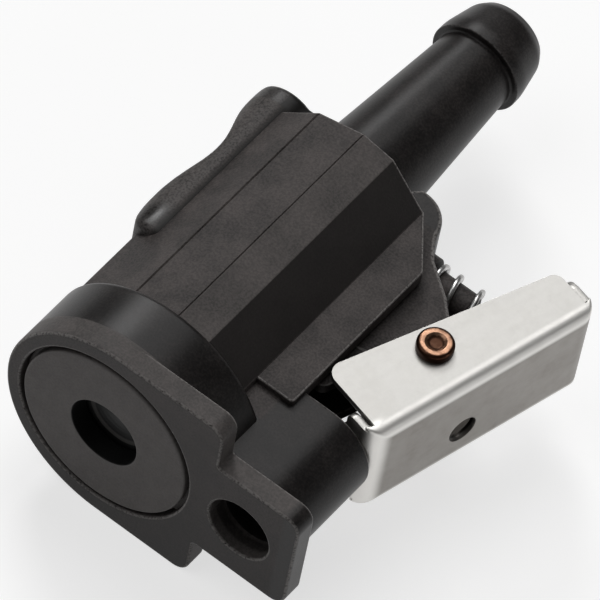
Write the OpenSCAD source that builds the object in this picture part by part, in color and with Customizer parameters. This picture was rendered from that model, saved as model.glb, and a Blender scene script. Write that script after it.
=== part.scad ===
// Fuel hose connector with a latch lever.
// The main axis runs along +Y from the sealing face (y = 0) to the hose barb.
// +X points from the main axis to the guide hole, +Z is up as the part lies down.

/* [Flange and barrel] */
// Radius of the round barrel and of the round side of the flange
barrel_r = 13.3; // [13.2:0.1:14]
// Distance from the main axis to the centre of the barrel, towards the guide hole
barrel_x = 0.6; // [0:0.1:0.8]
// Length of the barrel, with the flange
barrel_len = 8.8; // [8:0.1:10]
// Thickness of the flange
flange_t = 2.7; // [2:0.1:4]
// Distance from the main axis to the upper step of the flange
step_x = 13.8; // [13.5:0.1:14]
// Distance from the main axis to the lower step of the flange
lower_step_x = 12.7; // [12:0.1:13.8]
// Distance from the main axis to the end of the tab
tab_x = 24.5; // [23.5:0.1:26]
// Half of the width of the tab
tab_half = 7.4; // [6.5:0.1:8]
// Radius of the corners of the flange
corner_r = 1.8; // [0.5:0.1:2]

/* [Guide hole] */
// Distance between the main axis and the guide hole
guide_x = 17.6; // [17.4:0.1:18.4]
// Radius of the guide hole
guide_r = 3.8; // [3:0.1:4]
// Radius of the boss around the guide hole
boss_r = 5.7; // [5:0.1:6]
// Rear end of the boss
boss_len = 14.7; // [13:0.1:14.7]

/* [Faceted grip] */
// Rear end of the faceted grip
grip_end = 40.5; // [39:0.1:42]
// Width of the side that faces the latch, from the main axis
grip_side_x = 9.6; // [9:0.1:10.5]
// Height of the highest ridge above the main axis
grip_top = 12.1; // [11.9:0.1:12.4]

/* [Wings and finger rest] */
// Height of the upper side of a wing
wing_top = 6.5; // [6.3:0.1:6.7]
// Thickness of a wing
wing_t = 1.9; // [1.4:0.1:2]
// Distance from the main axis to the edge of a wing
wing_x = 14.2; // [12:0.1:14.2]
// Front end of a wing
wing_start = 12.2; // [10.5:0.1:14]
// Half of the height of the finger rest
rest_half = 5.6; // [5:0.1:6]
// Distance from the main axis to the two crests of the finger rest
rest_x = 13.7; // [13.2:0.1:14.5]

/* [Lug] */
// Half of the thickness of the lug that carries the latch
lug_half = 4.2; // [3.5:0.1:4.5]
// Rear edge of the lug
lug_end = 44.3; // [44:0.1:45]
// Radius of the ear around the latch pin
ear_r = 3.2; // [2.8:0.1:3.4]

/* [Hose barb] */
// Rear end of the barb
barb_end = 69.5; // [68:0.5:74]
// Radius of the tube at its root
tube_root_r = 6.15; // [6:0.05:6.3]
// Radius of the tube in front of the lip
tube_tip_r = 4.75; // [4.5:0.05:5]
// Radius of the lip that the hose stretches over
lip_r = 5.6; // [5.4:0.05:6]
// Front end of the lip
lip_start = 63.3; // [61:0.1:64]
// Length of the cylindrical land of the lip
lip_len = 1.3; // [1:0.1:1.6]
// Radius of the passage through the barb
passage_r = 3.0; // [2.5:0.1:3.2]

/* [Valve and seal] */
// Radius of the counterbore in the flange
counterbore_r = 11; // [10.6:0.1:11.2]
// Depth of the counterbore
counterbore_depth = 2.5; // [2.3:0.1:3.2]
// Radius of the face of the seal
seal_r = 10.2; // [9.8:0.1:10.4]
// Radius of the hole in the seal
port_r = 4.2; // [3.5:0.1:4.5]
// Radius of the valve chamber
chamber_r = 6.2; // [6:0.1:6.6]
// Rear end of the valve chamber
chamber_end = 27; // [24:0.5:30]
// Travel of the valve plunger
valve_travel = 3.5; // [2:0.1:4]

/* [Latch lever] */
// Distance from the main axis to the latch pin
pivot_x = 20.9; // [20.8:0.1:21.2]
// Distance from the sealing face to the latch pin
pivot_y = 27.5; // [27.4:0.1:28]
// Angle between the lever and the main axis
lever_tilt = 14.2; // [13:0.1:15]
// Outer height of the lever
lever_h = 13.3; // [13.1:0.1:13.5]
// Thickness of the sheet
sheet_t = 0.8; // [0.6:0.1:0.9]
// Outer radius of the long folds
fold_r = 1.3; // [1.1:0.1:1.6]
// Outer radius of the bends at the two ends of the web
end_bend_r = 2.2; // [1.6:0.1:2.4]
// Radius of the neck of the guide pin that the hook grips
hook_r = 2.6; // [2.4:0.1:2.8]
// Radius of the hole in the web
web_hole_r = 1.75; // [1.4:0.05:2]
// Radius of the latch pin
pin_r = 1.5; // [1.2:0.1:1.6]
// Radius of the two heads of the latch pin
pin_head_r = 2.1; // [1.9:0.1:2.4]

/* [Springs] */
// Wire thickness of the latch spring
latch_wire = 0.65; // [0.5:0.05:0.7]
// Outer radius of the latch spring
latch_spring_r = 2.6; // [2.5:0.05:2.7]
// Radius of the peg in the latch spring
peg_r = 1.8; // [1.5:0.1:1.85]
// Wire thickness of the valve spring
valve_wire = 0.7; // [0.5:0.05:0.8]

/* [Hidden] */
$fn = 96;
cut = 1;

// Latch lever in its own frame, with the pin at the origin, +Y to the rear and +X outwards
web_x = 5.7;
web_front = -12.2;
lever_rear = 17.6;
flange_front = -11.2;
flange_rear = 16.7;
inner_edge_front = -4;
inner_edge_rear = -0.6;
hook_x = 1.2;
hook_half = 6.1;
rear_wall_x = 0.4;
rear_wall_half = 6.3;
slot_root_x = 4.2;

// Latch spring, its seat on the lug and its peg
spring_y = 38.05;
seat_x = 13.2;
seat_r = 2.7;
spring_end_x = pivot_x + (web_x - sheet_t) / cos(lever_tilt)
    + (spring_y - latch_spring_r - pivot_y) * tan(lever_tilt) - 0.05;
peg_end_x = 18.9;

// Valve
plunger_front = counterbore_depth + 0.1;
plunger_len = 11;
plunger_r = chamber_r - 0.1;
head_r = 5.6;
head_len = 1.6;
dish_r = 4.9;
dish_depth = 1.3;
skirt_inner_r = 4.6;
skirt_floor = 3.2;
valve_coil_r = 4.05;

function arc(cx, cy, r, from, to, steps = 8) =
    [for (i = [0:steps]) let (a = from + (to - from) * i / steps) [cx + r * cos(a), cy + r * sin(a)]];

// Centre line of a coil along +Z whose first and last turn lie close together
function coil_height(t, turns, wire, height) =
    let (close = 1.12 * wire, open = (height - 2 * close) / (turns - 2))
    t < 1 ? close * t : t > turns - 1 ? height - close * (turns - t) : close + open * (t - 1);

// A round wire wound on a cylinder
module coil(r, wire, height, turns, steps = 20, sides = 8) {
    count = turns * steps;
    rings = [for (i = [0:count])
        let (a = 360 * i / steps, z = coil_height(i / steps, turns, wire, height - wire) + wire / 2)
        [for (k = [0:sides - 1])
            let (b = 360 * k / sides, q = r + wire / 2 * cos(b))
            [q * cos(a), q * sin(a), z + wire / 2 * sin(b)]]];
    points = [for (ring = rings) each ring];
    sides_faces = [for (i = [0:count - 1], k = [0:sides - 1])
        let (m = (k + 1) % sides)
        [i * sides + k, (i + 1) * sides + k, (i + 1) * sides + m, i * sides + m]];
    first_end = [for (k = [0:sides - 1]) k];
    last_end = [for (k = [sides - 1:-1:0]) count * sides + k];
    polyhedron(points = points, faces = concat(sides_faces, [first_end], [last_end]), convexity = 6);
}

// Extrudes a shape drawn in X and Z from y0 to y1
module along_y(y0, y1) {
    translate([0, y1, 0]) rotate([90, 0, 0]) linear_extrude(y1 - y0) children();
}

// A cylinder along +Y
module rod_y(x, y0, y1, r) {
    translate([x, y0, 0]) rotate([-90, 0, 0]) cylinder(h = y1 - y0, r = r);
}

// A rectangle from x0 to x1 with round corners at x1
module tongue(x0, x1, half, r) {
    translate([x0, -half]) square([x1 - r - x0, 2 * half]);
    translate([x0, r - half]) square([x1 - x0, 2 * (half - r)]);
    for (s = [-1, 1]) translate([x1 - r, s * (half - r)]) circle(r);
}

module flange() {
    along_y(0, flange_t) {
        translate([barrel_x, 0]) circle(barrel_r);
        intersection() {
            tongue(0, step_x, barrel_r, corner_r);
            square([tab_x, barrel_r]);
        }
        intersection() {
            tongue(0, lower_step_x, barrel_r, corner_r);
            translate([0, -barrel_r]) square([tab_x, barrel_r]);
        }
        tongue(0, tab_x, tab_half, corner_r);
    }
}

module barrel() {
    shoulder = 0.6;
    translate([barrel_x, 0, 0]) rotate([-90, 0, 0]) rotate_extrude() {
        square([barrel_r, barrel_len - shoulder]);
        square([barrel_r - shoulder, barrel_len]);
        translate([barrel_r - shoulder, barrel_len - shoulder]) circle(shoulder, $fn = 32);
    }
}

module guide_boss() {
    rod_y(guide_x, 0, boss_len, boss_r);
    translate([6, 0, -boss_r]) cube([guide_x - 6, boss_len, 2 * boss_r]);
}

module grip() {
    upper = [[-11.45, 4.6], [-4.8, 10.6], [0.85, grip_top], [4.9, grip_top - 0.75], [grip_side_x, wing_top]];
    lower = [for (i = [len(upper) - 1:-1:0]) [upper[i][0], -upper[i][1]]];
    along_y(barrel_len - 2, grip_end) polygon(concat(upper, lower));
}

module wing() {
    slope_start = 34.3;
    translate([0, 0, wing_top - wing_t]) linear_extrude(wing_t)
        polygon([[5, wing_start], [wing_x, wing_start], [wing_x, slope_start],
                 [grip_side_x, grip_end], [5, grip_end]]);
}

module finger_rest() {
    front = 19;
    crest_front = 23.9;
    crest_rear = 41.3;
    rear = 43.2;
    front_x = rest_x - 0.7;
    valley = 1.9;
    edge_r = 3;
    rear_r = rear - crest_rear;
    front_curve = [for (i = [0:6]) let (a = 15 * i)
        [-11.5 - (front_x - 11.5) * sin(a), crest_front - (crest_front - front) * cos(a)]];
    saddle = [for (i = [1:15]) let (k = i / 16)
        [valley / 2 * (1 - cos(360 * k)) - front_x - (rest_x - front_x) * k,
         crest_front + (crest_rear - crest_front) * k]];
    rear_curve = arc(rear_r - rest_x, crest_rear, rear_r, 180, 90, 6);
    intersection() {
        translate([0, 0, -rest_half]) linear_extrude(2 * rest_half)
            polygon(concat([[-5, front]], front_curve, saddle, rear_curve, [[-5, rear]]));
        mirror([1, 0, 0]) along_y(front - cut, rear + cut) tongue(4, rest_x, rest_half, edge_r);
    }
}

module lug() {
    side = concat(
        [[-8, 43.2], [6, 43.2], [6.4, lug_end], [7.4, lug_end], [9.2, 43.6], [10.7, 42.3], [11.7, 40.5], [12.6, 38.9],
         [13.4, 37.9], [17.3, 35], [18.5, 33.7]],
        arc(pivot_x, pivot_y, ear_r, 40, -110, 14),
        [[grip_side_x, 22.5], [-8, 22.5]]);
    difference() {
        translate([0, 0, -lug_half]) linear_extrude(2 * lug_half) polygon(side);
        // Pocket in which the latch spring stands
        translate([seat_x, spring_y, 0]) rotate([0, 90, 0]) cylinder(h = 10, r = seat_r + 0.05);
    }
    // Boss that keeps the lever in the middle of its pin
    boss_half = lever_h / 2 - sheet_t - 0.1;
    translate([pivot_x, pivot_y, -boss_half]) cylinder(h = 2 * boss_half, r = ear_r - 0.8);
}

module spring_peg() {
    translate([8, spring_y, 0]) rotate([0, 90, 0]) {
        cylinder(h = seat_x - 8, r = seat_r);
        cylinder(h = peg_end_x - 0.6 - 8, r = peg_r);
        translate([0, 0, peg_end_x - 0.6 - 8]) cylinder(h = 0.6, r1 = peg_r, r2 = peg_r - 0.5);
    }
}

module hose_barb() {
    root = grip_end;
    rotate([-90, 0, 0]) rotate_extrude()
        polygon([[0, 30], [tube_root_r + 0.9, 30], [tube_root_r + 0.9, root + 0.4],
                 [tube_root_r + 0.35, root + 1.4], [tube_root_r, root + 3],
                 [tube_tip_r, lip_start], [lip_r, lip_start], [lip_r, lip_start + lip_len],
                 [lip_r - 0.75, barb_end - 1.2], [lip_r - 0.95, barb_end - 0.5],
                 [lip_r - 1.5, barb_end], [0, barb_end]]);
}

module body() {
    color("#2b2a2a")
    difference() {
        union() {
            flange();
            barrel();
            guide_boss();
            grip();
            wing();
            mirror([0, 0, 1]) wing();
            finger_rest();
            lug();
            spring_peg();
            hose_barb();
        }
        rod_y(0, -cut, counterbore_depth, counterbore_r);
        rod_y(0, 0, chamber_end, chamber_r);
        rod_y(0, 0, barb_end + cut, passage_r);
        rod_y(guide_x, -cut, boss_len + cut, guide_r);
        translate([pivot_x, pivot_y, -lever_h / 2]) cylinder(h = lever_h, r = pin_r + 0.05);
    }
}

module face_seal() {
    rim_front = 1.2;
    color("#3b3a39")
    rotate([-90, 0, 0]) difference() {
        union() {
            cylinder(h = counterbore_depth, r = seal_r);
            translate([0, 0, rim_front]) cylinder(h = counterbore_depth - rim_front, r = counterbore_r);
        }
        translate([0, 0, -cut]) cylinder(h = counterbore_depth + 2 * cut, r = port_r);
    }
}

module valve_plunger() {
    color("#1f1f1f")
    translate([0, plunger_front, 0]) rotate([-90, 0, 0]) difference() {
        rotate_extrude() polygon([[0, dish_depth], [dish_r, 0], [head_r, 0], [head_r, head_len],
                                  [plunger_r, head_len + 0.6], [plunger_r, plunger_len],
                                  [skirt_inner_r, plunger_len], [skirt_inner_r, skirt_floor], [0, skirt_floor]]);
        for (a = [45, 135]) rotate([0, 0, a])
            translate([-chamber_r, -1.5, skirt_floor + 1]) cube([2 * chamber_r, 3, plunger_len]);
    }
}

module valve_spring() {
    start = plunger_front + skirt_floor;
    color("#b9bbbd")
    translate([0, start, 0]) rotate([-90, 0, 0]) coil(valve_coil_r, valve_wire, chamber_end - start, 8);
}

// Plan of the lever, seen along Z, shrunk by inset on the outer sides
module lever_plan(inset) {
    r = end_bend_r - inset;
    x = web_x - inset;
    front = web_front + inset;
    rear = lever_rear - inset;
    polygon(concat([[-20, front]], arc(x - r, front + r, r, -90, 0), arc(x - r, rear - r, r, 0, 90),
                   [[-20, rear]]));
}

// Section of the channel, seen along the lever, shrunk by inset
module lever_section(inset) {
    tongue(-20, web_x - inset, lever_h / 2 - inset, fold_r - inset);
}

module lever_form(inset) {
    intersection() {
        translate([0, 0, -lever_h]) linear_extrude(2 * lever_h) lever_plan(inset);
        along_y(-40, 40) lever_section(inset);
    }
}

// The flange that is left between its sloping inner edge and the web
module flange_plan() {
    front_r = 1.6;
    rear_r = 1.2;
    polygon(concat([[web_x + cut, flange_front]],
                   arc(inner_edge_front + front_r, flange_front + front_r, front_r, 270, 180),
                   arc(inner_edge_rear + rear_r, flange_rear - rear_r, rear_r, 180, 90),
                   [[web_x + cut, flange_rear]]));
}

// Everything around an end wall that is bent in as far as tip_x
module around_end_wall(y0, y1, tip_x, half, r) {
    along_y(y0, y1) difference() {
        translate([-30, -lever_h]) square([30 + slot_root_x, 2 * lever_h]);
        mirror([1, 0]) tongue(-slot_root_x - cut, -tip_x, half, r);
    }
}

module latch_lever() {
    gap = 0.1;
    color("#cfcbc5")
    translate([pivot_x, pivot_y, 0]) rotate([0, 0, -lever_tilt]) difference() {
        lever_form(0);
        lever_form(sheet_t);
        for (s = [0, 1]) mirror([0, 0, s]) translate([0, 0, lever_h / 2 - sheet_t - gap / 2])
            linear_extrude(sheet_t + cut) difference() {
                translate([-30, flange_front - gap])
                    square([30 + slot_root_x, flange_rear - flange_front + 1.5 * gap]);
                flange_plan();
            }
        around_end_wall(web_front - cut, flange_front, hook_x, hook_half, 0.9);
        around_end_wall(flange_rear, lever_rear + cut, rear_wall_x, rear_wall_half, 1.6);
        // Notch around the neck of the guide pin
        rotate([0, 0, lever_tilt]) rod_y(guide_x - pivot_x, -pivot_y, -8, hook_r);
        translate([0, 0, -lever_h]) cylinder(h = 2 * lever_h, r = pin_r + 0.02);
        translate([web_x - 3, 0.6, -1.75]) rotate([0, 90, 0]) cylinder(h = 6, r = web_hole_r);
    }
}

module latch_pin() {
    head = 1.4;
    sphere_r = (pin_head_r * pin_head_r + head * head) / (2 * head);
    color("#9a5b35")
    translate([pivot_x, pivot_y, 0]) {
        translate([0, 0, -lever_h / 2]) cylinder(h = lever_h, r = pin_r);
        for (s = [0, 1]) mirror([0, 0, s]) translate([0, 0, lever_h / 2]) intersection() {
            translate([0, 0, head - sphere_r]) sphere(sphere_r);
            cylinder(h = head + cut, r = pin_head_r);
        }
    }
}

module latch_spring() {
    color("#c4c6c8")
    translate([seat_x, spring_y, 0]) rotate([0, 90, 0])
        coil(latch_spring_r - latch_wire / 2, latch_wire, spring_end_x - seat_x, 6.5);
}

body();
face_seal();
valve_plunger();
valve_spring();
latch_lever();
latch_pin();
latch_spring();
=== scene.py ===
"""Visual model of a fuel hose connector with a latch lever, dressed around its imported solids.

Shapes are worked out in millimetres in the part's own frame: +Y runs from the sealing face to the
hose barb, +X from the fuel passage to the latch lever, +Z up. Each piece is a set of closed shells
that are computed with numpy and put into one mesh, and each finish is a procedural material.
"""
import logging
import math
from dataclasses import dataclass
from enum import Enum
from typing import Any, Optional, Sequence, Union

import bmesh
import bpy
import numpy as np
from mathutils import Matrix, Vector
from mathutils.geometry import tessellate_polygon


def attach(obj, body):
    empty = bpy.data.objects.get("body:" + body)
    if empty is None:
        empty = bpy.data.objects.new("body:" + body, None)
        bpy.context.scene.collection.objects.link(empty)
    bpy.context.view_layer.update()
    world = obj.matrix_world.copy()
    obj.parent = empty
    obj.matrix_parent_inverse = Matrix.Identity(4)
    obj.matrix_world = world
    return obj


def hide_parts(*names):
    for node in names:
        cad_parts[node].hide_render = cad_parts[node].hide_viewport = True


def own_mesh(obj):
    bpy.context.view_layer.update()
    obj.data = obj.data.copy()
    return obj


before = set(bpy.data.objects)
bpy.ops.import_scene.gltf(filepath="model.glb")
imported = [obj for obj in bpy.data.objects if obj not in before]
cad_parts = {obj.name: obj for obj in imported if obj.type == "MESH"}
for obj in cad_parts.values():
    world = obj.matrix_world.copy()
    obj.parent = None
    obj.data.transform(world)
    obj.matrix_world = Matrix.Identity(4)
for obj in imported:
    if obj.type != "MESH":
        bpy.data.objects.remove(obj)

LOG = logging.getLogger("connector")
MM = 0.001            # metres in a millimetre
TINY = 1e-12          # keeps a length or a tangent that is divided by away from zero
SUPPORT = 0.05        # millimetres from a round corner to the extra point that keeps its flat side flat
CORNER_SHARE = 0.49   # the most of a side that the arc at one of its ends takes
REPEAT = 1e-4         # millimetres within which two neighbouring points of an outline are one
MERGE_M = 2e-7        # metres within which two points of a piece are one
EDGE_STEPS = 4        # segments of the quarter circle along an extruded edge
Array = np.ndarray
Colour = tuple[float, float, float]
Point = tuple[float, float, float]
Pair = tuple[float, float]


class Axis(Enum):
    """Direction along which a shape is extruded or turned, as the order of its three columns."""

    X = (2, 0, 1)
    Y = (0, 2, 1)
    Z = (0, 1, 2)


class Rim(Enum):
    """How a profile that is turned around an axis is closed."""

    RING = "ring"
    POLES = "poles"


# ---------------------------------------------------------------- outlines


def unit(vectors: Array) -> Array:
    """Returns the vectors at length one, each divided by its own length."""
    return vectors / np.maximum(np.linalg.norm(vectors, axis=-1, keepdims=True), TINY)


def signed_area(outline: Array) -> float:
    """Returns the area of a closed outline, positive where it runs anticlockwise."""
    after = np.roll(outline, -1, axis=0)
    return 0.5 * float(np.sum(outline[:, 0] * after[:, 1] - outline[:, 1] * after[:, 0]))


def rounded(corners: Sequence[Sequence[float]], radii: Sequence[float], steps: int = 6) -> Array:
    """Rounds the corners of a closed outline.

    With d0 and d1 the directions into and out of a corner and f the turn between them, the arc
    starts r tan(f/2) before the corner, and its point at angle a is the start plus
    r (sin a) d0 plus r (1 - cos a) n, where n is d0 turned by a quarter towards d1. One more
    point stands just before and just after each arc, so that the straight sides shade flat.

    Args:
        corners: the outline's corners.
        radii: one radius for each corner; a radius of 0 leaves the corner as it is.
        steps: number of segments of each arc.

    Returns:
        The points of the rounded outline, without repeats.
    """
    p, r = np.asarray(corners, float), np.asarray(radii, float)
    into, out = p - np.roll(p, 1, axis=0), np.roll(p, -1, axis=0) - p
    room = CORNER_SHARE * np.minimum(np.linalg.norm(into, axis=1), np.linalg.norm(out, axis=1))
    d0, d1 = unit(into), unit(out)
    cross = d0[:, 0] * d1[:, 1] - d0[:, 1] * d1[:, 0]
    turn = np.arctan2(np.abs(cross), np.sum(d0 * d1, axis=1))
    tangent = np.tan(turn / 2)
    r = np.where(r * tangent > room, room / np.maximum(tangent, TINY), r)
    reach = (r * tangent)[:, None]
    n = np.stack([-d0[:, 1], d0[:, 0]], axis=1) * np.sign(cross)[:, None]
    a = (turn[:, None] * np.linspace(0, 1, steps + 1))[..., None]
    bent = np.sin(a) * d0[:, None] + (1 - np.cos(a)) * n[:, None]
    arcs = (p - reach * d0)[:, None] + r[:, None, None] * bent
    lead = (np.minimum(SUPPORT, 0.3 * (room - reach[:, 0])) * (r > 0))[:, None]
    first, last = p - (reach + lead) * d0, p + (reach + lead) * d1
    points = np.concatenate([first[:, None], arcs, last[:, None]], axis=1).reshape(-1, 2)
    gap = np.linalg.norm(points - np.roll(points, 1, axis=0), axis=1)
    return points[gap > REPEAT]


def inset(outline: Array, distance: float) -> Array:
    """Moves an outline to its left by a distance.

    Each point moves along the mean of its two edges' left normals, by the distance divided by the
    cosine of half the turn, and by no more than twice the distance.

    Args:
        outline: closed outline, with the material on its left.
        distance: how far it moves into the material.

    Returns:
        The moved outline, with as many points.
    """
    d = unit(np.roll(outline, -1, axis=0) - outline)
    n = np.stack([-d[:, 1], d[:, 0]], axis=1)
    mean = unit(n + np.roll(n, 1, axis=0))
    return outline + mean * (distance / np.clip(np.sum(mean * n, axis=1), 0.5, None))[:, None]


def denser(outline: Array, step: float) -> Array:
    """Adds points on the long sides of a closed outline, at even steps of the way around it.

    Args:
        outline: closed outline.
        step: distance between added points.

    Returns:
        The outline's own points and the added ones, in order.
    """
    closed = np.concatenate([outline, outline[:1]])
    way = np.concatenate([[0.0], np.cumsum(np.linalg.norm(np.diff(closed, axis=0), axis=1))])
    extra = np.arange(step / 2, way[-1], step)
    clear = np.min(np.abs(extra[:, None] - way[None, :]), axis=1) > step / 5
    at = np.sort(np.concatenate([way[:-1], extra[clear]]))
    return np.stack([np.interp(at, way, closed[:, k]) for k in range(2)], axis=1)


def circle(x: float, y: float, radius: float, count: int, start: float = 0.0, end: float = 360.0) -> Array:
    """Points of an arc: the centre plus the radius times (cos a, sin a).

    Args:
        x: the centre's first coordinate.
        y: its second.
        radius: radius of the arc.
        count: number of points.
        start: angle of the first point in degrees.
        end: angle at which the arc ends; a full circle leaves out the point there.

    Returns:
        The points in order.
    """
    full = abs(end - start) >= 360
    a = np.radians(np.linspace(start, end, count, endpoint=not full))
    return np.stack([x + radius * np.cos(a), y + radius * np.sin(a)], axis=1)


def quarter(radius: float, past: Array) -> Array:
    """Returns how far a quarter circle has fallen at a distance past its start: r - sqrt(r r - p p)."""
    return radius - np.sqrt(np.clip(radius ** 2 - past ** 2, 0, None))


def rounded_ends(low: float, high: float, edge: float) -> Array:
    """Profile of a wall whose two ends are rounded by a quarter circle.

    Args:
        low: height of the first end.
        high: height of the second end.
        edge: radius of the two quarter circles.

    Returns:
        Rows of (inset, height): edge (1 - sin t) and edge (1 - cos t) from an end, with support rows.
    """
    t = np.linspace(0, np.pi / 2, EDGE_STEPS + 1)
    curve = np.stack([edge * (1 - np.sin(t)), edge * (1 - np.cos(t))], axis=1)
    first = np.concatenate([[[edge + SUPPORT, 0]], curve, [[0, edge + SUPPORT]]])
    second = first[::-1] * [1, -1]
    return np.concatenate([first + [0, low], second + [0, high]])


def end_wear_and_highlight(profile: Array, edge: float) -> Array:
    """Pale edge of a profile from rounded_ends: worn, with a painted highlight, which peaks midway along each
    rounded end.

    With q the inset as a share of the edge's radius, it is 2 sqrt(q (1 - q)), and 0 elsewhere.

    Args:
        profile: rows of (inset, height).
        edge: radius of the rounded ends.

    Returns:
        The worn paleness and painted highlight of each row.
    """
    share = np.clip(profile[:, 0] / edge, 0, 1)
    bent = (profile[:, 0] > 0) & (profile[:, 0] <= edge)
    return np.where(bent, 2 * np.sqrt(share * (1 - share)), 0.0)


# ---------------------------------------------------------------- mesh


class PieceMesh:
    """Collects the closed shells of one piece, in millimetres, and makes its object."""

    TURN_STEPS = 44     # points along one turn of a coil
    WIRE_SIDES = 14     # points around a coil's wire
    CLOSE_PITCH = 1.12  # climb of a closed end turn, in wire thicknesses

    def __init__(self, name: str) -> None:
        """Starts an empty piece.

        Args:
            name: the object's name.
        """
        self.name = name
        self.points: list[Array] = []
        self.wear_and_painted_light: list[Array] = []
        self.faces: list[list[int]] = []
        self.count = 0

    def add(self, points: Array, quads: Array, triangles: Optional[Array] = None, closed: bool = True,
            wear_and_painted_light: Optional[Array] = None) -> None:
        """Adds one shell, turned so that its faces point outwards.

        The volume is the sum over triangles of a . (b x c) / 6. Where it is negative, every face is
        turned round.

        Args:
            points: the shell's points, one row each.
            quads: rows of four point numbers.
            triangles: rows of three point numbers.
            closed: whether the shell has a volume to test.
            wear_and_painted_light: up to 1, how pale each point is worn and painted with a highlight; down to
                -1, how dark it is painted with shade.
        """
        triangles = np.zeros((0, 3), int) if triangles is None else triangles
        split = np.concatenate([quads[:, [0, 1, 2]], quads[:, [0, 2, 3]], triangles])
        a, b, c = (points[split[:, k]] for k in range(3))
        if closed and np.sum(a * np.cross(b, c)) < 0:
            quads, triangles = quads[:, ::-1], triangles[:, ::-1]
        self.faces += (quads + self.count).tolist() + (triangles + self.count).tolist()
        self.points.append(points)
        self.wear_and_painted_light.append(np.zeros(len(points)) if wear_and_painted_light is None else wear_and_painted_light)
        self.count += len(points)

    @staticmethod
    def grid_faces(rows: int, columns: int, wrap_rows: bool, wrap_columns: bool, first: int = 0) -> Array:
        """Quads between the points of a grid, which are numbered row by row.

        Args:
            rows: number of rows.
            columns: number of points in a row.
            wrap_rows: whether the last row joins the first.
            wrap_columns: whether each row closes on itself.
            first: number of the first point.

        Returns:
            Rows of four point numbers.
        """
        i = np.arange(rows if wrap_rows else rows - 1)[:, None]
        j = np.arange(columns if wrap_columns else columns - 1)[None, :]
        k, m = (i + 1) % rows, (j + 1) % columns
        corners = i * columns + j, i * columns + m, k * columns + m, k * columns + j
        return np.stack(np.broadcast_arrays(*corners), -1).reshape(-1, 4) + first

    def ring_loft(self, rings: Array, closed: bool = False, wear_and_painted_light: Optional[Array] = None) -> None:
        """Joins rings of points into a shell.

        The surface is the grid ring number by point number; each ring is closed.

        Args:
            rings: array of rings, points and coordinates.
            closed: whether the last ring joins the first, or else both ends get a fan from their middle.
            wear_and_painted_light: the worn paleness, painted highlight and painted shade of each point, ring
                by ring.
        """
        count, size, _ = rings.shape
        points, quads = rings.reshape(-1, 3), self.grid_faces(count, size, closed, True)
        rubbed_and_lit = np.zeros(count * size) if wear_and_painted_light is None else wear_and_painted_light.reshape(-1)
        if closed:
            self.add(points, quads, wear_and_painted_light=rubbed_and_lit)
            return
        middles = np.stack([rings[0].mean(0), rings[-1].mean(0)])
        j = np.arange(size)
        m = (j + 1) % size
        low = np.stack([m, j, np.full(size, count * size)], 1)
        last = (count - 1) * size
        high = np.stack([last + j, last + m, np.full(size, count * size + 1)], 1)
        self.add(np.concatenate([points, middles]), quads, np.concatenate([low, high]),
                 wear_and_painted_light=np.append(rubbed_and_lit, [0.0, 0.0]))

    def prism(self, outline: Array, low: float, high: float, edge: float, axis: Axis,
              holes: Sequence[Array] = ()) -> None:
        """Extrudes an outline with holes along an axis, with rounded edges at both ends.

        Every loop becomes a grid: profile row by outline point, where a row's inset moves the loop
        into the material and its height moves it along the axis. The two flat ends are filled with
        triangles between the loops.

        Args:
            outline: outer loop in the two other axes, in the order X, Y, Z.
            low: start along the axis.
            high: end along the axis.
            edge: radius of the rounded edges.
            axis: the extrusion's direction.
            holes: inner loops.
        """
        profile = rounded_ends(low, high, edge)
        # Rounded ends are worn pale and carry a painted highlight.
        rubbed_and_lit = end_wear_and_highlight(profile, edge)
        outer = outline if signed_area(outline) > 0 else outline[::-1]
        loops = [outer] + [h if signed_area(h) < 0 else h[::-1] for h in holes]
        points, quads, wear_and_painted_light, ends, first = [], [], [], ([], []), 0
        for loop in loops:
            rows = np.stack([np.column_stack([inset(loop, i), np.full(len(loop), h)])
                             for i, h in profile])
            points.append(rows.reshape(-1, 3))
            quads.append(self.grid_faces(len(profile), len(loop), False, True, first))
            wear_and_painted_light.append(np.repeat(rubbed_and_lit, len(loop)))
            ends[0].append(np.arange(len(loop)) + first)
            first += len(profile) * len(loop)
            ends[1].append(np.arange(len(loop)) + first - len(loop))
        flat = np.concatenate(points)
        caps = []
        for side, rings in enumerate(ends):
            found = np.array(tessellate_polygon([flat[ring].tolist() for ring in rings]))
            cap = np.concatenate(rings)[found]
            a, b, c = (flat[cap[:, k], :2] for k in range(3))
            to_b, to_c = b - a, c - a
            turned = (to_b[:, 0] * to_c[:, 1] - to_b[:, 1] * to_c[:, 0] > 0) == (side == 0)
            caps.append(np.where(turned[:, None], cap[:, ::-1], cap))
        self.add(self.placed(flat, axis), np.concatenate(quads), np.concatenate(caps),
                 wear_and_painted_light=np.concatenate(wear_and_painted_light))

    def lathe(self, profile: Array, axis: Axis, centre: Sequence[float], rim: Rim, segments: int,
              wear_and_painted_light: Optional[Array] = None) -> None:
        """Turns a profile around an axis.

        A profile row (height, radius) at angle a goes to centre plus radius (cos a, sin a), at that
        height. With poles, the first and last row lie on the axis.

        Args:
            profile: rows of (height, radius).
            axis: the axis of rotation.
            centre: where the axis stands in the two other directions.
            rim: whether the profile closes on itself or ends at poles.
            segments: number of steps around.
            wear_and_painted_light: the worn paleness and painted highlight of each row of the profile.
        """
        a = np.linspace(0, 2 * np.pi, segments, endpoint=False)[:, None]
        h, r = profile[:, 0][None], profile[:, 1][None]
        rows = np.stack(np.broadcast_arrays(centre[0] + r * np.cos(a), centre[1] + r * np.sin(a), h), -1)
        quads = self.grid_faces(segments, len(profile), True, rim is Rim.RING)
        rubbed_and_lit = None if wear_and_painted_light is None else np.tile(wear_and_painted_light, segments)
        self.add(self.placed(rows.reshape(-1, 3), axis), quads, wear_and_painted_light=rubbed_and_lit)

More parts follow.
